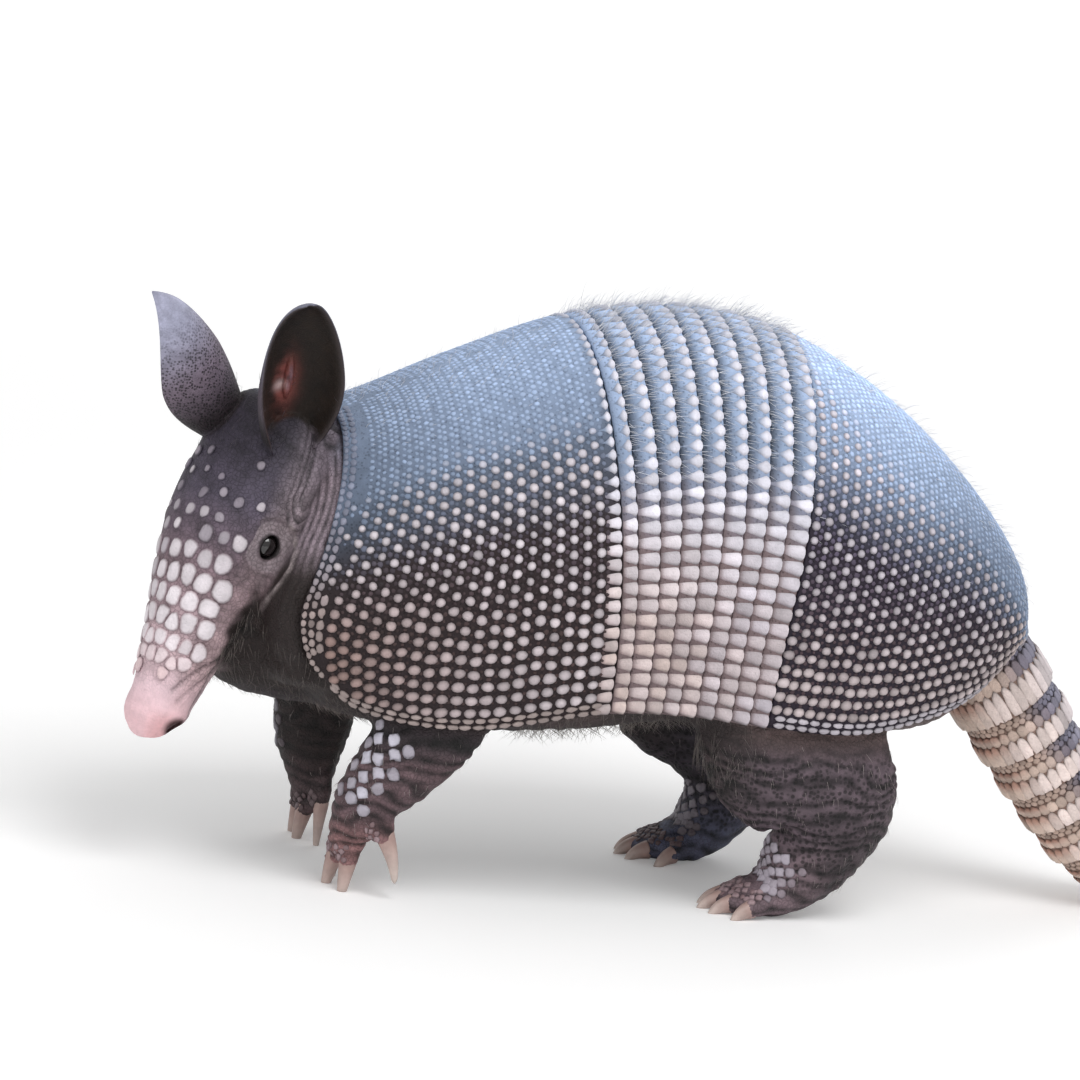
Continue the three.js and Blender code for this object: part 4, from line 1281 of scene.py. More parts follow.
def face_tone(along, angle, p):
    """Colour of the bare skin of the head."""
    turn = np.degrees(np.abs(angle))
    top, flank = by_place(along, FACE_ALONG, FACE_TOP), by_place(along, FACE_ALONG, FACE_SIDE)
    shade = mixed(top, flank, smooth(48, 80, turn))
    line = np.interp(along, *THROAT_LINE)
    # the throat: dark hairy skin with painted shade under the head
    throat = smooth(line - 9, line + 13, turn + 4 * cloud(p, 7, 8)) * smooth(94, 86, along)
    shade = mixed(shade, [0.020, 0.012, 0.011], throat)
    chin = smooth(76, 86, along) * smooth(112, 124, turn)
    shade = mixed(shade, [0.60, 0.45, 0.48], chin * 0.9)
    shade = mixed(shade, [0.88, 0.44, 0.45], 0.45 * smooth(100, 106, along) * smooth(20, 60, turn))
    # painted shade in and round the nostril's opening
    nostril = smooth(5.2, 2.6, np.hypot((along - 104.8) * 1.15, (turn - 103) * 0.13))
    shade = mixed(shade, [0.035, 0.009, 0.011], nostril * 0.97)
    # painted shade in the mouth's line and the lip's creases
    shade = shade * (1 - 0.75 * np.clip(mouth_lines(along, angle, 0.0, 0.8), 0, 1))[:, None]
    # painted shade in the cheek's creases and painted light on its ridges
    ridge, weight = face_folds(along, angle)
    weight = weight * smooth(96, 84, along)
    shade = shade * (1 + weight * (1.05 * (ridge - 0.62)))[:, None]
    blotch = cloud(p, 9, 5) * 0.5 + cloud(p, 4, 6) * 0.35
    return shade * (1 + 0.34 * blotch * smooth(98, 84, along))[:, None]


def limb_tone(p):
    """Colour of the legs: the far ones carry painted shade of the body's shadow, and all are paler towards
    their feet.
    """
    x, y, z = p.T
    heel = smooth(42, 56, y) * smooth(42, 30, z)
    near_hind = mixed([0.078, 0.056, 0.068], [0.15, 0.105, 0.12], smooth(34, 12, z))
    near_hind = mixed(near_hind, [0.035, 0.025, 0.030], heel * 0.8)
    # the far hind leg: painted shade of the body's shadow
    far_hind = mixed([0.040, 0.032, 0.042], [0.085, 0.09, 0.14], smooth(30, 10, z))
    near_fore = mixed([0.026, 0.018, 0.022], [0.10, 0.062, 0.07], smooth(56, 44, z))
    near_fore = mixed(near_fore, [0.24, 0.125, 0.125], smooth(30, 16, z))
    # the far foreleg: painted shade of the body's shadow
    far_fore = mixed([0.020, 0.012, 0.012], [0.065, 0.042, 0.045], smooth(34, 18, z))
    near = smooth(-6, 6, x)
    return mixed(mixed(far_hind, near_hind, near), mixed(far_fore, near_fore, near), smooth(-20, -50, y))


def body_tone(p, ahead, legs):
    """Colour of the hide below the head."""
    x, y, z = p.T
    shade = mixed([0.060, 0.043, 0.045], [0.075, 0.046, 0.044], smooth(84, 66, z) * 0.7)
    # painted shade under the head and neck, over their dark hairy skin
    shade = mixed(shade, [0.018, 0.010, 0.009], smooth(-70, -100, y) * smooth(118, 104, z))
    # neck: lilac-grey folds before the shell, with painted shade in their creases and light on their ridges
    neck = mixed([0.235, 0.185, 0.215], [0.15, 0.155, 0.21], smooth(138, 154, z))
    neck = neck * (0.42 + 0.95 * neck_wrinkles(ahead, p) + 0.16 * cloud(p, 5, 13))[:, None]
    shade = mixed(shade, neck, smooth(40, 22, ahead) * smooth(108, 122, z))
    shade = mixed(shade, limb_tone(p), legs)
    # the near thigh: a fold of bare skin under the shell, and painted shade over its dark hair where its
    # front meets the belly
    thigh = smooth(62, 72, z) * smooth(16, 26, x) * smooth(-2, 14, y)
    shade = mixed(shade, [0.165, 0.112, 0.108], thigh * 0.8)
    groin = smooth(26, 6, y) * smooth(-40, -30, y) * smooth(30, 44, z) * smooth(92, 84, z)
    shade = mixed(shade, [0.026, 0.018, 0.018], groin * 0.85)
    rough = cloud(p, 7, 11) * 0.5 + cloud(p, 3, 12) * 0.35
    # painted shade in the wrinkles' creases and painted light on their ridges, with mottling
    hide = np.maximum(legs, thigh) * (0.38 * rough + 1.05 * (leg_wrinkles(p) - 0.62))
    return shade * (1 + hide).clip(0.15, 2)[:, None]


def lid_tone(shade, p, on_head):
    """Eyelids: a pale ring with painted shade in its fine creases, round a dark edge that is partly painted
    shade.
    """
    lid = eye_reach(p)
    ring = smooth(3.9, 4.8, lid) * smooth(8.6, 6.9, lid) * on_head
    # painted shade in the lids' fine creases
    creased = mixed([0.31, 0.255, 0.275], [0.225, 0.18, 0.195], 1 - fold(lid / 1.35, 2.0))
    shade = mixed(shade, creased, ring * 0.85)
    # painted shade in the crease round the lids
    shade = mixed(shade, [0.10, 0.072, 0.078], bump(lid, 8.7, 0.8) * on_head * 0.6)
    # the lids' dark rim, with painted shade at the opening
    return mixed(shade, [0.016, 0.011, 0.012], smooth(4.5, 3.7, lid) * on_head)


def ear_tone(side, inside, p, v, u):
    """Colour of an ear at the places v along it and u across it."""
    mottle = cloud(p, 6, 21) * 0.5 + cloud(p, 2.6, 22) * 0.4
    inner = mixed([0.014, 0.008, 0.005], [0.085, 0.048, 0.042], smooth(0.5, 0.1, v) * smooth(0.45, 0.1, u))
    inner = inner * (1 + 0.35 * mottle)[:, None]
    red = bump(v, 0.31, 0.17) * bump(u + 0.03 * mottle, 0.50, 0.085)
    inner = mixed(inner, np.array([0.36, 0.10, 0.085]) * (1 + 0.4 * mottle)[:, None], red * 0.95)
    # a painted highlight in the ear's cup
    inner = mixed(inner, [0.66, 0.50, 0.49], bump(np.hypot((v - 0.30) * 55, (u - 0.44) * 38), 0, 1.9))
    outer = mixed([0.024, 0.016, 0.020], [0.185, 0.142, 0.185], smooth(0.08, 0.44, v))
    outer = mixed(outer, [0.38, 0.385, 0.51], smooth(0.38, 0.82, v))
    outer = outer * (1 + 0.16 * mottle)[:, None] * (0.45 if side > 0 else 1.0)
    tone = np.where(inside[:, None], inner, outer)
    edge = np.minimum(np.minimum(u, 1 - u), 1 - v)
    return mixed(tone, [0.05, 0.036, 0.038], smooth(0.04, 0.0, edge) * 0.8 * inside)


co = points_of(skin.data)
along, angle, reach = head_coords(co)
on_head = on_face(co)
legs = smooth(68, 56, co[:, 2]) * (1 - on_head)
shade = mixed(body_tone(co, under_shell(co)[1], legs), face_tone(along, angle, co), on_head)
# a painted highlight along the cheek's raised crest
crest = smooth(2.0, 0.3, crest_reach(co)) * smooth(84, 104, co[:, 2])
crest = crest * (0.75 + 0.35 * cloud(co, 7, 14)).clip(0, 1)
shade = lid_tone(mixed(shade, [0.40, 0.335, 0.335], crest * 0.8), co, on_head)
# Weight of the fine grain: cells on most of the hide, a net on the hind legs and another on the ears' backs
leg_net = legs * (1 - smooth(-20, -50, co[:, 1])) * smooth(70, 54, co[:, 2]) * smooth(8, 16, co[:, 2])
cells = (0.75 - 0.75 * on_head * smooth(86, 100, along)) * (1 - leg_net)
ear_net = 0 * leg_net
for side in (1, -1):
    middle, out, thick, v, u = ear(side)
    tree = tree_of(both_faces(middle, out, thick))
    close = np.linalg.norm(co - middle[23, 20], axis=1) < 50
    found = [tree.find(q) for q in co[close]]
    which, far = (np.array([f[i] for f in found]) for i in (1, 2))
    inside = which >= v.size
    v, u = v.ravel()[which % v.size], u.ravel()[which % u.size]
    share = smooth(2.6, 1.0, far) * smooth(-0.03, 0.06, v)
    shade[close] = mixed(shade[close], ear_tone(side, inside, co[close], v, u), share)
    lower = np.where(inside, 0, smooth(0.86, 0.50, v))
    ear_net[close] = share * lower
    cells[close] = cells[close] * (1 - share) + share * np.where(inside, 0.15, 0.25 * (1 - lower))
skin_co, skin_normal = co, normals_of(skin.data)
set_points(skin.data, metres(co))
paint(skin.data, shade)
paint(skin.data, np.stack([cells, leg_net, ear_net], -1), "grain")
limb_nodes = [f"{part}_{side}" for part in ("foreleg", "forefoot", "hindleg", "hindfoot")
              for side in ("left", "right")]
placed(skin, SKIN_LOOK, ["trunk", "neck", "head", "ear_left", "ear_right", *limb_nodes])

# ---------------------------------------------------------------- eyes and claws
for side, name in ((1, "left"), (-1, "right")):
    eyeball = ball(eye_at(side), eye_axes(side), np.array([EYE_RADIUS] * 3), f"eyeball_{name}")
    set_points(eyeball.data, metres(points_of(eyeball.data)))
    paint(eyeball.data, [0.006, 0.004, 0.004])
    placed(eyeball, EYE_LOOK, [f"eye_{name}"])


def claw(name, start, stop, narrow, length, replaced):
    """A curved claw that grows out of the tip of a toe and bends down to its own point."""
    ahead = unit(stop - start)
    count, sides = 22, 18
    v = np.linspace(-0.22, 1, count)
    centre = stop + ahead * 0.3 + ahead * (length * v * (1 - 0.35 * v))[:, None]
    centre[:, 2] -= length * 0.35 * np.maximum(v, 0) ** 2
    pointed = np.where(v > 0.9, np.sqrt(np.clip((1.001 - v) / 0.1, 0, 1)), 1)
    thick = narrow * np.maximum(0.86 - 0.62 * v, 0.86 - 0.62) * pointed
    forward = unit(np.gradient(centre, axis=0))
    across = unit(np.array([1.0, 0, 0]) - forward * forward[:, :1])
    rings = ring_points(centre, across, np.cross(forward, across), thick * 0.86, thick, turns(sides, 0.5))
    rings[..., 2] = np.maximum(rings[..., 2], 0.03)
    co, faces = lofted(rings)
    tone = mixed([0.44, 0.30, 0.27], [0.66, 0.56, 0.51], np.append(np.repeat(v.clip(0, 1), sides), [0, 1]))
    uv = np.stack(grid(v * 0.4 + 0.2, np.arange(sides) / sides), -1).reshape(-1, 2)
    piece = Sheet()
    piece.add(co, faces, tone, np.append(uv, [[0.1, 0.5], [0.7, 0.5]], 0))
    piece.piece(name, CLAW_LOOK, "claw", [replaced])


for limb, (path, toes) in LIMBS.items():
    end, side = limb.split("_")
    for i, (start, stop, wide, narrow) in enumerate(toes):
        start, stop = np.array(start, float), np.array(stop, float)
        claw(f"claw_{limb}_{i + 1}", start, stop, narrow, CLAW_LENGTH[end], f"{end}claw_{side}_{i + 1}")


# ---------------------------------------------------------------- tail
def ring_edge(i):
    return 0.7 + 0.65 * (i - 0.008 * i * i)


def ring_span(i):
    """Where ring i starts and stops along the tail's path."""
    return (0.45 if i == 0 else ring_edge(i)), (ring_edge(i + 1) - 0.015 if i < RINGS else len(TAIL) - 1)


def ring_flare(v):
    """How much wider than the tail's own line a ring is: tucked in at its front, fullest by its free edge."""
    return 0.945 + 0.115 * smooth(0.0, 0.8, v)


def tail_map(t, angle, spread, middle):
    return np.stack([middle + spread * angle, 0.05 + 0.9 * t / (len(TAIL) - 1)], -1)


for i in range(RINGS + 1):
    whole = i < RINGS
    count = 20 if whole else 30
    rings = tube_rings(TAIL, 48, count, *ring_span(i))
    v = np.linspace(0, 1, count)
    centre = rings.mean(1, keepdims=True)
    flare = ring_flare(v) if whole else 1 - 0 * v
    soft = -0.5 * np.clip(1 - v / 0.08, 0, 1) ** 2 - 0.6 * np.clip((v - 0.9) / 0.1, 0, 1) ** 2 - 0.35
    rings = centre + (rings - centre) * flare[:, None, None]
    rings = rings + unit(rings - centre) * soft[:, None, None]
    if not whole:
        rings = centre + (rings - centre) * np.sqrt(np.clip((1.002 - v) / 0.05, 0, 1))[:, None, None]
    rings[..., 2] = np.maximum(rings[..., 2], 0.02)
    tone = np.repeat(mixed([0.060, 0.048, 0.060], [0.30, 0.20, 0.165], smooth(0.30, 0.50, v)), 48, 0)
    tone = mixed(tone, [0.25, 0.155, 0.12], np.tile(smooth(-0.5, 0.3, np.sin(turns(48))), count))
    piece = Sheet()
    piece.add(*lofted(rings), np.append(tone, [[0.05] * 3, [0.05] * 3], 0))
    piece.piece(f"tail_under_{i + 1}" if whole else "tail_end", TAIL_LOOK, "tail_armour",
                [f"tail_ring_{i + 1}" if whole else "tail_tip"], mapped=False)


def tail_place(t, angle, flare, rise):
    """Points and axes (round it, along it, out of it) on the tail."""
    p, forward, across, deep = path_frame(TAIL, t)
    width, depth = p[:, 3] * flare, p[:, -1] * flare
    cos, sin = np.cos(angle)[:, None], np.sin(angle)[:, None]
    out = unit(across * cos / width[:, None] + deep * sin / depth[:, None])
    at = p[:, :3] + across * cos * width[:, None] + deep * sin * depth[:, None] + out * rise
    around = unit(np.cross(out, forward))
    return at, around, np.cross(out, around), out


def outline(points, count=14):
    """Radii of a closed outline at even directions, from its corners (m, 2)."""
    corners = np.array(points, float)
    radii = []
    for angle in turns(count):
        way = np.array([math.cos(angle), math.sin(angle)])
        best = 9.0
        for p, q in zip(corners, np.roll(corners, -1, 0)):
            edge = q - p
            cross = way[0] * edge[1] - way[1] * edge[0]
            if abs(cross) > 1e-9:
                r = (p[0] * edge[1] - p[1] * edge[0]) / cross
                part = (p[0] * way[1] - p[1] * way[0]) / cross
                if r > 0 and -1e-6 <= part <= 1 + 1e-6:
                    best = min(best, r)
        radii.append(best)
    return np.array(radii)


TOOTH = outline([(-0.49, -0.5), (0.49, -0.5), (0.52, 0.18), (0.32, 0.40), (0, 0.55), (-0.32, 0.40),
                 (-0.52, 0.18)])
# Kinds of the tail's scutes: pitch, length as a share of their ring's, and outline
TAIL_KINDS = {"small": (2.9, 0.16, np.full(14, 0.5)), "mid": (3.5, 0.30, TOOTH), "long": (3.5, 0.52, TOOTH)}
# Their colours on the sides, underneath and on top, and where the one underneath starts and is full
TAIL_TONES = {
    "small": ([0.17, 0.15, 0.20], [0.56, 0.41, 0.34], [0.24, 0.25, 0.34], (-0.5, 0.3)),
    "mid": ([0.22, 0.18, 0.22], [0.68, 0.52, 0.44], [0.26, 0.27, 0.36], (-0.5, 0.2)),
    "long": ([0.80, 0.67, 0.63], [0.72, 0.56, 0.47], [0.72, 0.67, 0.72], (0.35, 0.9)),
}
RING_ROWS = [("small", 0.06), ("small", 0.17), ("mid", 0.37), ("long", 0.72)]
TIP_ROWS = [("small", v) for v in np.linspace(0.04, 0.9, 16)]


def tail_row(piece, i, kind, v, odd):
    """One row of scutes round the tail, at the share v of ring i."""
    whole = i < RINGS
    t0, t1 = ring_span(i)
    t = t0 + (t1 - t0) * v
    start, middle, stop = between(TAIL, np.array([t0, (t0 + t1) / 2, t1]))
    pitch, share, shape = TAIL_KINDS[kind]
    n = max(int(round(2 * np.pi * middle[3] / (pitch if whole else 2.4))), 6)
    angle = 2 * np.pi * (np.arange(n) + 0.5 * odd + rng.uniform(-0.08, 0.08, n)) / n
    flare = float(ring_flare(v)) if whole else 1.0
    at, around, along, out = tail_place(np.full(n, t), angle, flare, -0.45)
    radius = between(TAIL, np.array(t))[3]
    wide = 2 * np.pi * radius * flare / n * (0.97 if kind == "small" else 1.05)
    long = np.linalg.norm(stop[:3] - start[:3]) * share if whole else wide
    local, faces = dome([1.0, 0.94, 0.78, 0.42], [0.0, 0.38, 0.58, 0.66, 0.68], shape * varied(0.05, n, 14))
    local = local * np.array([wide, long, 1.0])
    keen = varied(0.13, n).clip(0.6, 1.3)[:, None]
    sides, under, top, limits = TAIL_TONES[kind]
    low = smooth(0.35, 0.9, np.sin(angle))
    tone = mixed(sides, under, smooth(*limits, np.sin(angle)))
    tone = mixed(tone, top, smooth(0.2, 0.9, -np.sin(angle)) * 0.6)
    if not whole:
        tone = tone * 0.85
    # painted shade towards each scute's edge
    ring = by_ring([0.34, 0.60, 0.96, 1.0], 14)
    if kind != "small":
        # the free edges fuse, while the points stay parted and turn brown on the underside
        point = smooth(-0.35, 0.35, local[..., 1] / long)[..., None]
        ring = 1 - (1 - ring) * (0.12 + 0.70 * point)
        ring = ring * (1 - 0.55 * point ** 2 * low[:, None, None] * np.array([0.5, 0.9, 1.0]))
    shade, uv = (tone * keen)[:, None] * ring, tail_map(np.full(n, t), angle, 0.8 / (2 * np.pi), 0.1)
    piece.stamp((local, faces), at, (around, along, out), shade, uv, 0.0005, at[:, 2] > 1.2)


tail_scutes = Sheet()
for i in range(RINGS + 1):
    for row, (kind, v) in enumerate(RING_ROWS if i < RINGS else TIP_ROWS):
        tail_row(tail_scutes, i, kind, v, row % 2)
tail_scutes.piece("tail_scutes", TAIL_LOOK, "tail_armour")


# ---------------------------------------------------------------- brow and muzzle plates
def brow():
    """The skin that the muzzle's plates stand on."""
    count, half_turn = 90, math.radians(66)
    v, u = grid(np.linspace(0, 1, count), np.linspace(-1, 1, count))
    station, angle = 2.3 + 6.2 * v, half_turn * u
    edge = np.minimum(np.minimum((1 - np.abs(u)) * 4, v * 5), (1 - v) * 3.2)
    rise = -1.4 + 1.7 * np.sin(np.pi / 2 * np.clip(edge, 0, 1))
    outer, inner = head_point(station, angle, rise), head_point(station, angle, rise - 1.6)
    along = between(HEAD_STATIONS, station.ravel())[:, 0]
    tone = face_tone(along, angle.ravel(), outer.reshape(-1, 3))
    uv = np.stack([u, v], -1).reshape(-1, 2) * 0.24 + 0.25
    piece = Sheet()
    piece.add(np.stack([outer, inner]), plate_faces(count, count)[:2], np.concatenate([tone, tone]),
              np.concatenate([uv, uv]))
    made = piece.piece("brow", SKIN_LOOK, "head_plates", ["head_shield"])
    cells = 0.75 - 0.75 * smooth(84, 94, np.concatenate([along, along]))
    paint(made.data, np.stack([cells, 0 * cells, 0 * cells], -1), "grain")


def shared_out(x, y, sides, gap, limit, sharp=16.0):
    """Outlines of plates that share the room between their middles, with a gap: radii (n, sides)."""
    angle = turns(sides)
    dx, dy = x[None] - x[:, None], y[None] - y[:, None]
    d = np.hypot(dx, dy) + FAR * np.eye(len(x))
    toward = (dx[..., None] * np.cos(angle) + dy[..., None] * np.sin(angle)) / d[..., None]
    reach = np.where(toward > 0.05, d[..., None] / 2 / np.maximum(toward, 0.05), FAR)
    soft = (reach ** -sharp).sum(1) ** (-1 / sharp)
    return np.minimum(soft - gap[:, None] / 2, limit[:, None])


# By the place along the head: pitch of the muzzle's rows, pitch of its plates, and how far round they reach
PLATE_AT = [18, 40, 62, 78, 90]
ROW_PITCH, PLATE_PITCH = [6.4, 7.4, 7.8, 6.4, 4.6], [6.2, 6.0, 5.7, 4.8, 3.7]
PLATE_REACH = [18, 30, 38, 59, 70, 82, 88, 96], np.radians([50, 54, 52, 60, 66, 72, 62, 44])


def head_plates():
    """Middles of the muzzle's plates: along the head, angle round it, half their pitch and its radius."""
    places = []
    row, at = 0, 15.0
    while at < 98:
        width = np.interp(at, HEAD_STATIONS[:, 0], (HEAD_STATIONS[:, 1] + HEAD_STATIONS[:, 2]) / 2)
        pitch = np.interp(at, PLATE_AT, PLATE_PITCH)
        reach = np.interp(at, *PLATE_REACH)
        count = int(reach * width / pitch)
        for j in range(-count - 1, count + 1):
            angle = (j + 0.5 * (row % 2)) * pitch / width
            if abs(angle) <= reach:
                along = at + rng.uniform(-1.1, 1.1)
                places.append((along, angle + rng.uniform(-0.8, 0.8) / width, pitch / 2, width))
        at += np.interp(at, PLATE_AT, ROW_PITCH)
        row += 1
    return np.array(places).T


def blurred(rings, own):
    """Each value of closed rings with its two neighbours, where it weighs its own share."""
    return np.roll(rings, -1, 1) + own * rings + np.roll(rings, 1, 1)


def muzzle_scutes():
    """Plates that fill the muzzle, and grow small and apart as spots up to the brow."""
    place, angle, half, width = head_plates()
    n, sides = len(place), 14
    station = np.interp(place, HEAD_STATIONS[:, 0], np.arange(len(HEAD_STATIONS)))
    for _ in range(3):
        station = station + (place - between(HEAD_STATIONS, station)[:, 0]) / 12
    around, along, out = head_axes(station, angle)
    at = head_point(station, angle, np.full(n, 0.25))
    gap = np.interp(place, [20, 36, 44, 52, 62, 80, 95], [2.6, 2.0, 1.2, 0.75, 0.6, 0.45, 0.5])
    plate = shared_out(angle * width, place, sides, gap, half * 1.6) * varied(0.07, n, sides)
    spotty = smooth(64, 32, place)
    spot = (1.0 + 0.9 * rng.uniform(0, 1, n)) * (1 + 0.75 * smooth(32, 54, place))
    oval = 1 + 0.30 * np.abs(np.sin(turns(sides)))
    spot = spot[:, None] * oval * (1 + 0.07 * blurred(rng.standard_normal((n, sides)), 1.5))
    edge = blurred(plate + (spot - plate) * spotty[:, None], 4) / 6
    bright = smooth(14, 62, place + 9 * rng.standard_normal(n))
    missing = 0.34 * spotty ** 2 + 0.5 * smooth(86, 92, place)
    some = (rng.uniform(0, 1, n) > missing) & (eye_reach(at) > 9.6) & (place < 91.5)
    keen = varied(0.10, n).clip(0.65, 1.2)
    tone = mixed([0.24, 0.205, 0.25], [0.80, 0.735, 0.775], bright) * keen[:, None]
    tone = mixed(tone, [0.84, 0.58, 0.59], 0.85 * smooth(76, 95, place))
    share = by_ring([0.0, 0.35, 0.90, 1.0], sides) ** (1 + 1.2 * spotty[:, None, None])
    shade = face_tone(place, angle, at)[:, None, :] * (1 - share) * 0.8 + tone[:, None, :] * share
    uv = np.stack([0.5 + angle * 0.2, 0.1 + place / 130], -1)
    shapes = dome([1.0, 0.92, 0.74, 0.4], [0.0, 0.36, 0.58, 0.68, 0.70], edge)
    piece = Sheet()
    piece.stamp(shapes, at, (around, along, out), shade, uv, 0.0005, some)
    piece.piece("muzzle_scutes", HEAD_PLATE_LOOK, "head_plates")


brow()
muzzle_scutes()

# ---------------------------------------------------------------- plates on the feet
skin_tree = BVHTree.FromPolygons(skin_co.tolist(), [tuple(f.vertices) for f in skin.data.polygons])


def on_skin(points):
    """The nearest places of the skin, and the way out of it."""
    found = [skin_tree.find_nearest(p) for p in np.asarray(points, float)]
    return np.array([f[0] for f in found]), np.array([f[1] for f in found])


def lattice(width, length, pitch):
    """Staggered places, a little moved: across, within half a width either side, and along from 0."""
    places = []
    row_pitch, half = pitch * 0.55, int(width / pitch) + 1
    for row in range(int(length / row_pitch) + 1):
        for column in range(-half, half + 1):
            x, y = (column + 0.5 * (row % 2)) * pitch, row * row_pitch
            if abs(x) < width:
                places.append((x + rng.uniform(-0.06, 0.06) * pitch, y + rng.uniform(-0.06, 0.06) * pitch))
    return np.array(places).T


def limb_plates(piece, path, span, middle, spread, pitch, tones, gap, big):
    """Plates in a staggered lattice over part of a limb, between two stations of its path, and on either side
    of its middle angle. Angles are in degrees."""
    middle, spread = math.radians(middle), math.radians(spread)
    stations = np.array(path, float)
    fine = np.linspace(0, len(stations) - 1, 300)
    s = lengths(between(stations, fine)[:, :3])
    s0, s1 = np.interp(span, fine, s)
    radius = float(between(stations, np.array(sum(span) / 2))[3:].mean())
    x, y = lattice(spread * radius, s1 - s0, pitch)
    y = y + s0
    n, sides = len(x), 12
    p, forward, across, deep = path_frame(stations, np.interp(y, s, fine))
    angle = middle + x / radius
    cos, sin = np.cos(angle)[:, None], np.sin(angle)[:, None]
    at = on_skin(p[:, :3] + across * cos * p[:, 3:4] + deep * sin * p[:, -1:])[0]
    out = unit(across * cos / p[:, 3:4] + deep * sin / p[:, -1:])
    ax = unit(np.cross(out, forward))
    ay = np.cross(out, ax)
    inner = smooth(1.05, 0.40, np.abs(x) / (spread * radius))
    edge = shared_out(x, y, sides, np.full(n, gap), pitch * big * (0.66 + 0.34 * inner), 12.0)
    edge = edge * varied(0.05, n, sides)
    local, faces = dome([1.0, 0.90, 0.70, 0.35], [-0.2, 0.26, 0.46, 0.55, 0.57], edge)
    base = at[:, None] + ax[:, None] * local[..., :1] + ay[:, None] * local[..., 1:2]
    lain, normal = on_skin(base.reshape(-1, 3))
    normal = unit(unit(normal) + 2 * np.repeat(out, local.shape[1], 0))
    co = lain + normal * local[..., 2].reshape(-1, 1)
    tone = mixed(*tones, inner * rng.uniform(0.55, 1.0, n))
    uv = np.stack([0.5 + at[:, 0] * 0.004, 0.5 + at[:, 1] * 0.0015 + at[:, 2] * 0.001], -1)
    # painted shade towards each plate's edge
    piece.copies(co.reshape(local.shape), faces, tone[:, None] * by_ring([0.35, 0.65, 0.97, 1.0], sides),
                 uv[:, None] + local[..., :2] * 0.0006)


# Plates of each limb: stations, angle round it and its reach, pitch, darkest and palest colours, gap and size
FORE_TONES, HIND_TONES = ([0.20, 0.155, 0.18], [0.66, 0.64, 0.74]), ([0.25, 0.20, 0.23], [0.50, 0.45, 0.52])
TOE_TONES = ([0.24, 0.155, 0.165], [0.38, 0.27, 0.29])
PLATES_ON = {
    "fore_left": ((1.9, 3.6), 48, 47, 6.9, FORE_TONES, 0.9, 0.42),
    "fore_right": ((1.9, 3.6), 120, 47, 6.9, FORE_TONES, 0.9, 0.42),
    "hind_left": ((4.7, 6.7), 66, 60, 5.3, HIND_TONES, 0.45, 0.44),
    "hind_right": ((4.7, 6.7), 90, 60, 5.3, HIND_TONES, 0.45, 0.44),
}
foot_plates = Sheet()
for limb, (path, toes) in LIMBS.items():
    # the right limbs are the far ones, in the body's shadow, and their plates carry painted shade
    dull = 1.0 if limb.endswith("left") else 0.45
    pale_dull = 0.55 if limb == "hind_right" else dull
    span, middle, spread, pitch, (dark, pale), gap, big = PLATES_ON[limb]
    tones = (np.array(dark) * dull, np.array(pale) * pale_dull)
    limb_plates(foot_plates, path, span, middle, spread, pitch, tones, gap, big)
    toe_tones = [np.array(tone) * dull for tone in TOE_TONES]
    for start, end, wide, narrow in toes:
        toe = toe_path(np.array(start), np.array(end), wide, narrow)
        limb_plates(foot_plates, toe, (0.4, 1.8), 90, 50, 3.6, toe_tones, 0.45, 0.46)
foot_plates.piece("foot_plates", HEAD_PLATE_LOOK, "skin")


# ---------------------------------------------------------------- hairs
def hairs(name, root, lay, out, length, width, tone, uv, rise, droop=0.0, slot="skin", loose=0.22):
    """Tapering hairs that leave the surface and bend over the way they lie."""
    n = len(root)
    sides, steps = 3, 4
    v = np.linspace(0, 1, steps + 1)[None, :, None]
    lay = unit(lay + loose * rng.standard_normal((n, 3)))
    lay = unit(lay - out * (lay * out).sum(1, keepdims=True))
    rise = (rise * varied(0.3, n))[:, None, None]
    length = (length * rng.uniform(0.6, 1.15, n))[:, None, None]
    lay, out = lay[:, None], out[:, None]
    path = root[:, None] - out * 0.4 + lay * length * v + out * rise * length * (v * 1.5 - 0.8 * v**2)
    path[..., 2] -= droop * length[..., 0] * v[..., 0] ** 2
    side = unit(np.cross(lay, out))
    lift = np.cross(side, unit(np.gradient(path, axis=1)))
    thick = (width / 2 * (1 - 0.72 * v))[:, :-1, :, None]
    cos, sin = (wave(turns(sides))[None, None, :, None] for wave in (np.cos, np.sin))
    ring = path[:, :-1, None] + side[:, :, None] * thick * cos + lift[:, :-1, None] * thick * sin
    ring[..., 2] = np.maximum(ring[..., 2], 0.05)
    co = np.concatenate([ring.reshape(n, -1, 3), path[:, -1:]], 1)
    last, p = (steps - 1) * sides, co.shape[1]
    cap = np.array([[last + j, last + (j + 1) % sides, steps * sides] for j in range(sides)])
    keen = varied(0.14, n).clip(0.5, 1.4)[:, None]
    spots = np.stack([np.cos(np.arange(p) * 2.1), np.linspace(-1, 1, p)], -1) * 0.0014
    piece = Sheet()
    piece.copies(co, (grid_faces(steps, sides, True), cap, np.array([[2, 1, 0]])), (tone * keen)[:, None],
                 uv[:, None] + spots)
    return piece.piece(name, HAIR_LOOK, slot)


# Hairs of the shell: how many, between which hoops, how far round it, their length and how they rise
SHELL_HAIRS = ((3400, (3.02, 5.0), 0.50, 6.0, 0.34), (1500, (5.05, 8.6), 0.62, 4.2, 0.42),
               (700, (0.4, 2.9), 0.42, 2.6, 0.42))


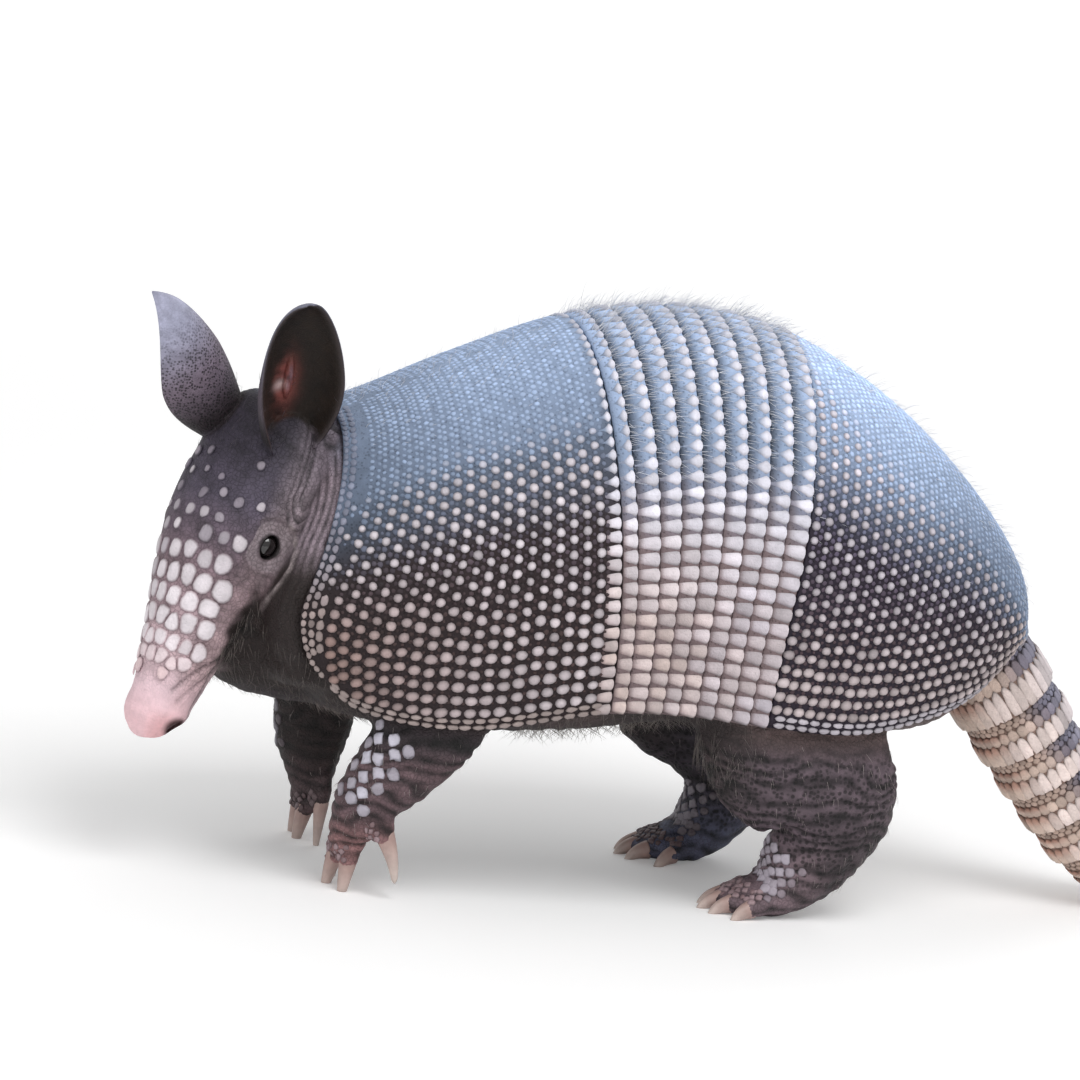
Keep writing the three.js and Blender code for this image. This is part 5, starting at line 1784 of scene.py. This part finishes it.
def back_hairs():
    parts = []
    for count, k_range, spread, length, rise in SHELL_HAIRS:
        k, a = rng.uniform(*k_range, count), rng.uniform(-1, 1, count) * spread
        parts.append(np.stack([k, a, np.full(count, length), np.full(count, rise)]))
    k, a, length, rise = np.concatenate(parts, 1)
    thin = rng.uniform(0, 1, len(k)) < 1 - 0.75 * smooth(0.25, 0.62, np.abs(a))
    k, a, length, rise = k[thin], a[thin], length[thin], rise[thin]
    around, along, out = shell_axes(k, a)
    down = np.array([0, 0, -1.0]) * smooth(0.1, 0.5, np.abs(a))[:, None]
    rise = rise * rng.uniform(0.25, 1.7, len(k)) * (1 - 0.55 * smooth(0.12, 0.4, np.abs(a)))
    rise = rise * (1 + 1.7 * smooth(0.24, 0.08, np.abs(a)))
    hairs("back_hairs", shell_point(k, a, -0.2), along + 0.35 * down, out, length, 0.17, [0.74, 0.75, 0.80],
          map_place(k, a), rise, slot="shield")


def throat(p):
    along, angle, reach = head_coords(p)
    return (along > 20) & (along < 84) & (np.degrees(np.abs(angle)) > 96)


# Hairs of the skin: how many, inside which box, the way they lie, their length, width and colour, how they
# rise and droop, how loosely they lie, and which places p of the skin, with the way n out of it, they keep to
SKIN_HAIRS = {
    "belly_hairs": (800, ([-62, -62, 48], [62, 4, 84]), [0, 0.25, -1.0], 8.0, 0.15, [0.22, 0.19, 0.175],
                    0.30, 0.35, 0.22, lambda p, n: n[:, 2] < 0.35),
    "thigh_hairs": (120, ([24, -12, 50], [75, 19, 84]), [0.1, 0.3, -1.0], 8.0, 0.13, [0.19, 0.165, 0.155],
                    0.30, 0.35, 0.45, lambda p, n: (n[:, 0] > -0.2) & (n[:, 1] < 0.2)),
    "leg_hairs": (1100, ([-70, -130, 12], [70, 90, 80]), [0, 0.2, -1.0], 4.2, 0.15, [0.36, 0.31, 0.30],
                  0.22, 0.0, 0.22, lambda p, n: np.abs(n[:, 2]) < 0.8),
    "throat_hairs": (1500, ([-30, -200, 52], [60, -112, 128]), [0.2, 0.1, -1.0], 4.6, 0.13,
                     [0.24, 0.205, 0.19], 0.30, 0.2, 0.22, lambda p, n: (n[:, 2] < 0.15) & throat(p)),
    "nape_hairs": (420, ([-45, -200, 138], [60, -105, 172]), [0, 0.5, 0.3], 3.8, 0.15, [0.09, 0.075, 0.09],
                   0.45, 0.0, 0.22, lambda p, n: (head_coords(p)[0] < 14) & (n[:, 2] > -0.2)),
}


def skin_roots(count, box, keep):
    """Random places of the skin inside a box of the body's own measures."""
    low, high = np.array(box, float)
    pool = np.nonzero(np.all((skin_co > low) & (skin_co < high), 1) & keep(skin_co, skin_normal))[0]
    pick = rng.choice(pool, min(count, len(pool)), replace=False)
    return skin_co[pick] + rng.uniform(-0.5, 0.5, (len(pick), 3)) * 0.6, skin_normal[pick]


def body_map(p):
    """Places on a map of the body's hide, unrolled along it."""
    turn = np.arctan2(p[:, 0], p[:, 2] - 95) / (2 * np.pi)
    return np.stack([0.5 + 0.94 * turn, 0.03 + 0.94 * (p[:, 1] + 260) / 440], -1)


def tail_hairs():
    """Hairs on top of the tail, by the rings' free edges."""
    count = 420
    t = rng.uniform(0.8, 9, count)
    ring_at = np.array([ring_edge(i + 1) for i in range(RINGS)])
    t = ring_at[np.abs(ring_at[None] - t[:, None]).argmin(1)] - rng.uniform(0.02, 0.18, count)
    angle = -math.pi / 2 + rng.uniform(-1.5, 1.5, count)
    at, around, along, out = tail_place(t, angle, 1.03, 0.0)
    hairs("tail_hairs", at, along, out, 5.0, 0.17, [0.72, 0.68, 0.66], tail_map(t, angle, 0.12, 0.5), 0.38,
          slot="tail_armour")


back_hairs()
for name, (count, box, lay, length, width, tone, rise, droop, loose, keep) in SKIN_HAIRS.items():
    root, out = skin_roots(count, box, keep)
    hairs(name, root, np.array(lay), out, length, width, tone, body_map(root), rise, droop, loose=loose)
tail_hairs()

# ---------------------------------------------------------------- studio
# The photo's camera: where it stands round the animal, its roll, and its focal length in pixels of the frame
AZIMUTH, ELEVATION, ROLL = math.radians(72), math.radians(12), math.radians(8)
CAMERA_REACH, LOOKED_AT = 3.0, [0, -50, 116.0]
FOCAL_PIXELS, FRAME_PIXELS, SENSOR_WIDTH = 8824, 1080, 36
flat = math.cos(ELEVATION)
backwards = np.array([math.sin(AZIMUTH) * flat, -math.cos(AZIMUTH) * flat, math.sin(ELEVATION)])
level = np.array([math.cos(AZIMUTH), math.sin(AZIMUTH), 0])
upright = np.cross(backwards, level)
right = level * math.cos(ROLL) + upright * math.sin(ROLL)
up = -level * math.sin(ROLL) + upright * math.cos(ROLL)
lens = bpy.data.cameras.new("camera")
lens.sensor_width = SENSOR_WIDTH
lens.lens = SENSOR_WIDTH * FOCAL_PIXELS / FRAME_PIXELS
lens.clip_end = 50
camera = linked(bpy.data.objects.new("camera", lens))
turn = Matrix([[right[i], up[i], backwards[i]] for i in range(3)]).to_4x4()
turn.translation = metres(LOOKED_AT) + backwards * CAMERA_REACH
camera.matrix_world = turn
scene = bpy.context.scene
scene.camera = camera

# Paper, which glows a little to the camera, and the more the farther out, so that it shows no horizon
paper = bpy.data.materials.new("paper")
paper.use_nodes = True
node, sheet_shader = node_maker(paper.node_tree), paper.node_tree.nodes["Principled BSDF"]
set_values(sheet_shader, {"Base Color": (0.93, 0.93, 0.93, 1), "Roughness": 0.9,
                          "Emission Color": (1, 1, 1, 1)})
seen = node("LightPath").outputs["Is Camera Ray"]
place = node("NewGeometry").outputs["Position"]
far_out = node("VectorMath", {0: place}, operation="LENGTH").outputs["Value"]
glow = node("MapRange", {"Value": far_out, "From Min": 0.5, "From Max": 2.6, "To Min": 0.16, "To Max": 0.62},
            interpolation_type="SMOOTHSTEP").outputs["Result"]
glow = node("Math", {0: seen, 1: glow}, operation="MULTIPLY").outputs[0]
paper.node_tree.links.new(glow, sheet_shader.inputs["Emission Strength"])
bpy.ops.mesh.primitive_plane_add(size=30)
floor = bpy.context.object
floor.name = "floor"
floor.data.materials.append(paper)

world = bpy.data.worlds.new("studio")
scene.world = world
world.use_nodes = True
node, background = node_maker(world.node_tree), world.node_tree.nodes["Background"]
set_values(background, {"Color": (1, 1, 1, 1)})
rays = node("LightPath").outputs
seen = {0: rays["Is Camera Ray"], 1: rays["Is Transmission Ray"]}
seen = node("Math", seen, operation="MAXIMUM").outputs[0]
strength = node("MapRange", {"Value": seen, "To Min": 0.55, "To Max": 1.0}).outputs["Result"]
world.node_tree.links.new(strength, background.inputs["Strength"])


def soft_light(name, place, size, power):
    lamp = bpy.data.lights.new(name, "AREA")
    lamp.shape, lamp.size, lamp.energy = "SQUARE", size, power
    made = linked(bpy.data.objects.new(name, lamp))
    made.location = place
    made.rotation_euler = (-Vector(place)).to_track_quat("-Z", "Y").to_euler()


soft_light("key", (1.1, 0.2, 1.9), 1.2, 22)
soft_light("fill", (1.5, -1.9, 0.9), 1.6, 9)
soft_light("rim", (-1.6, 1.2, 1.5), 1.2, 8)

scene.view_settings.view_transform = "Standard"
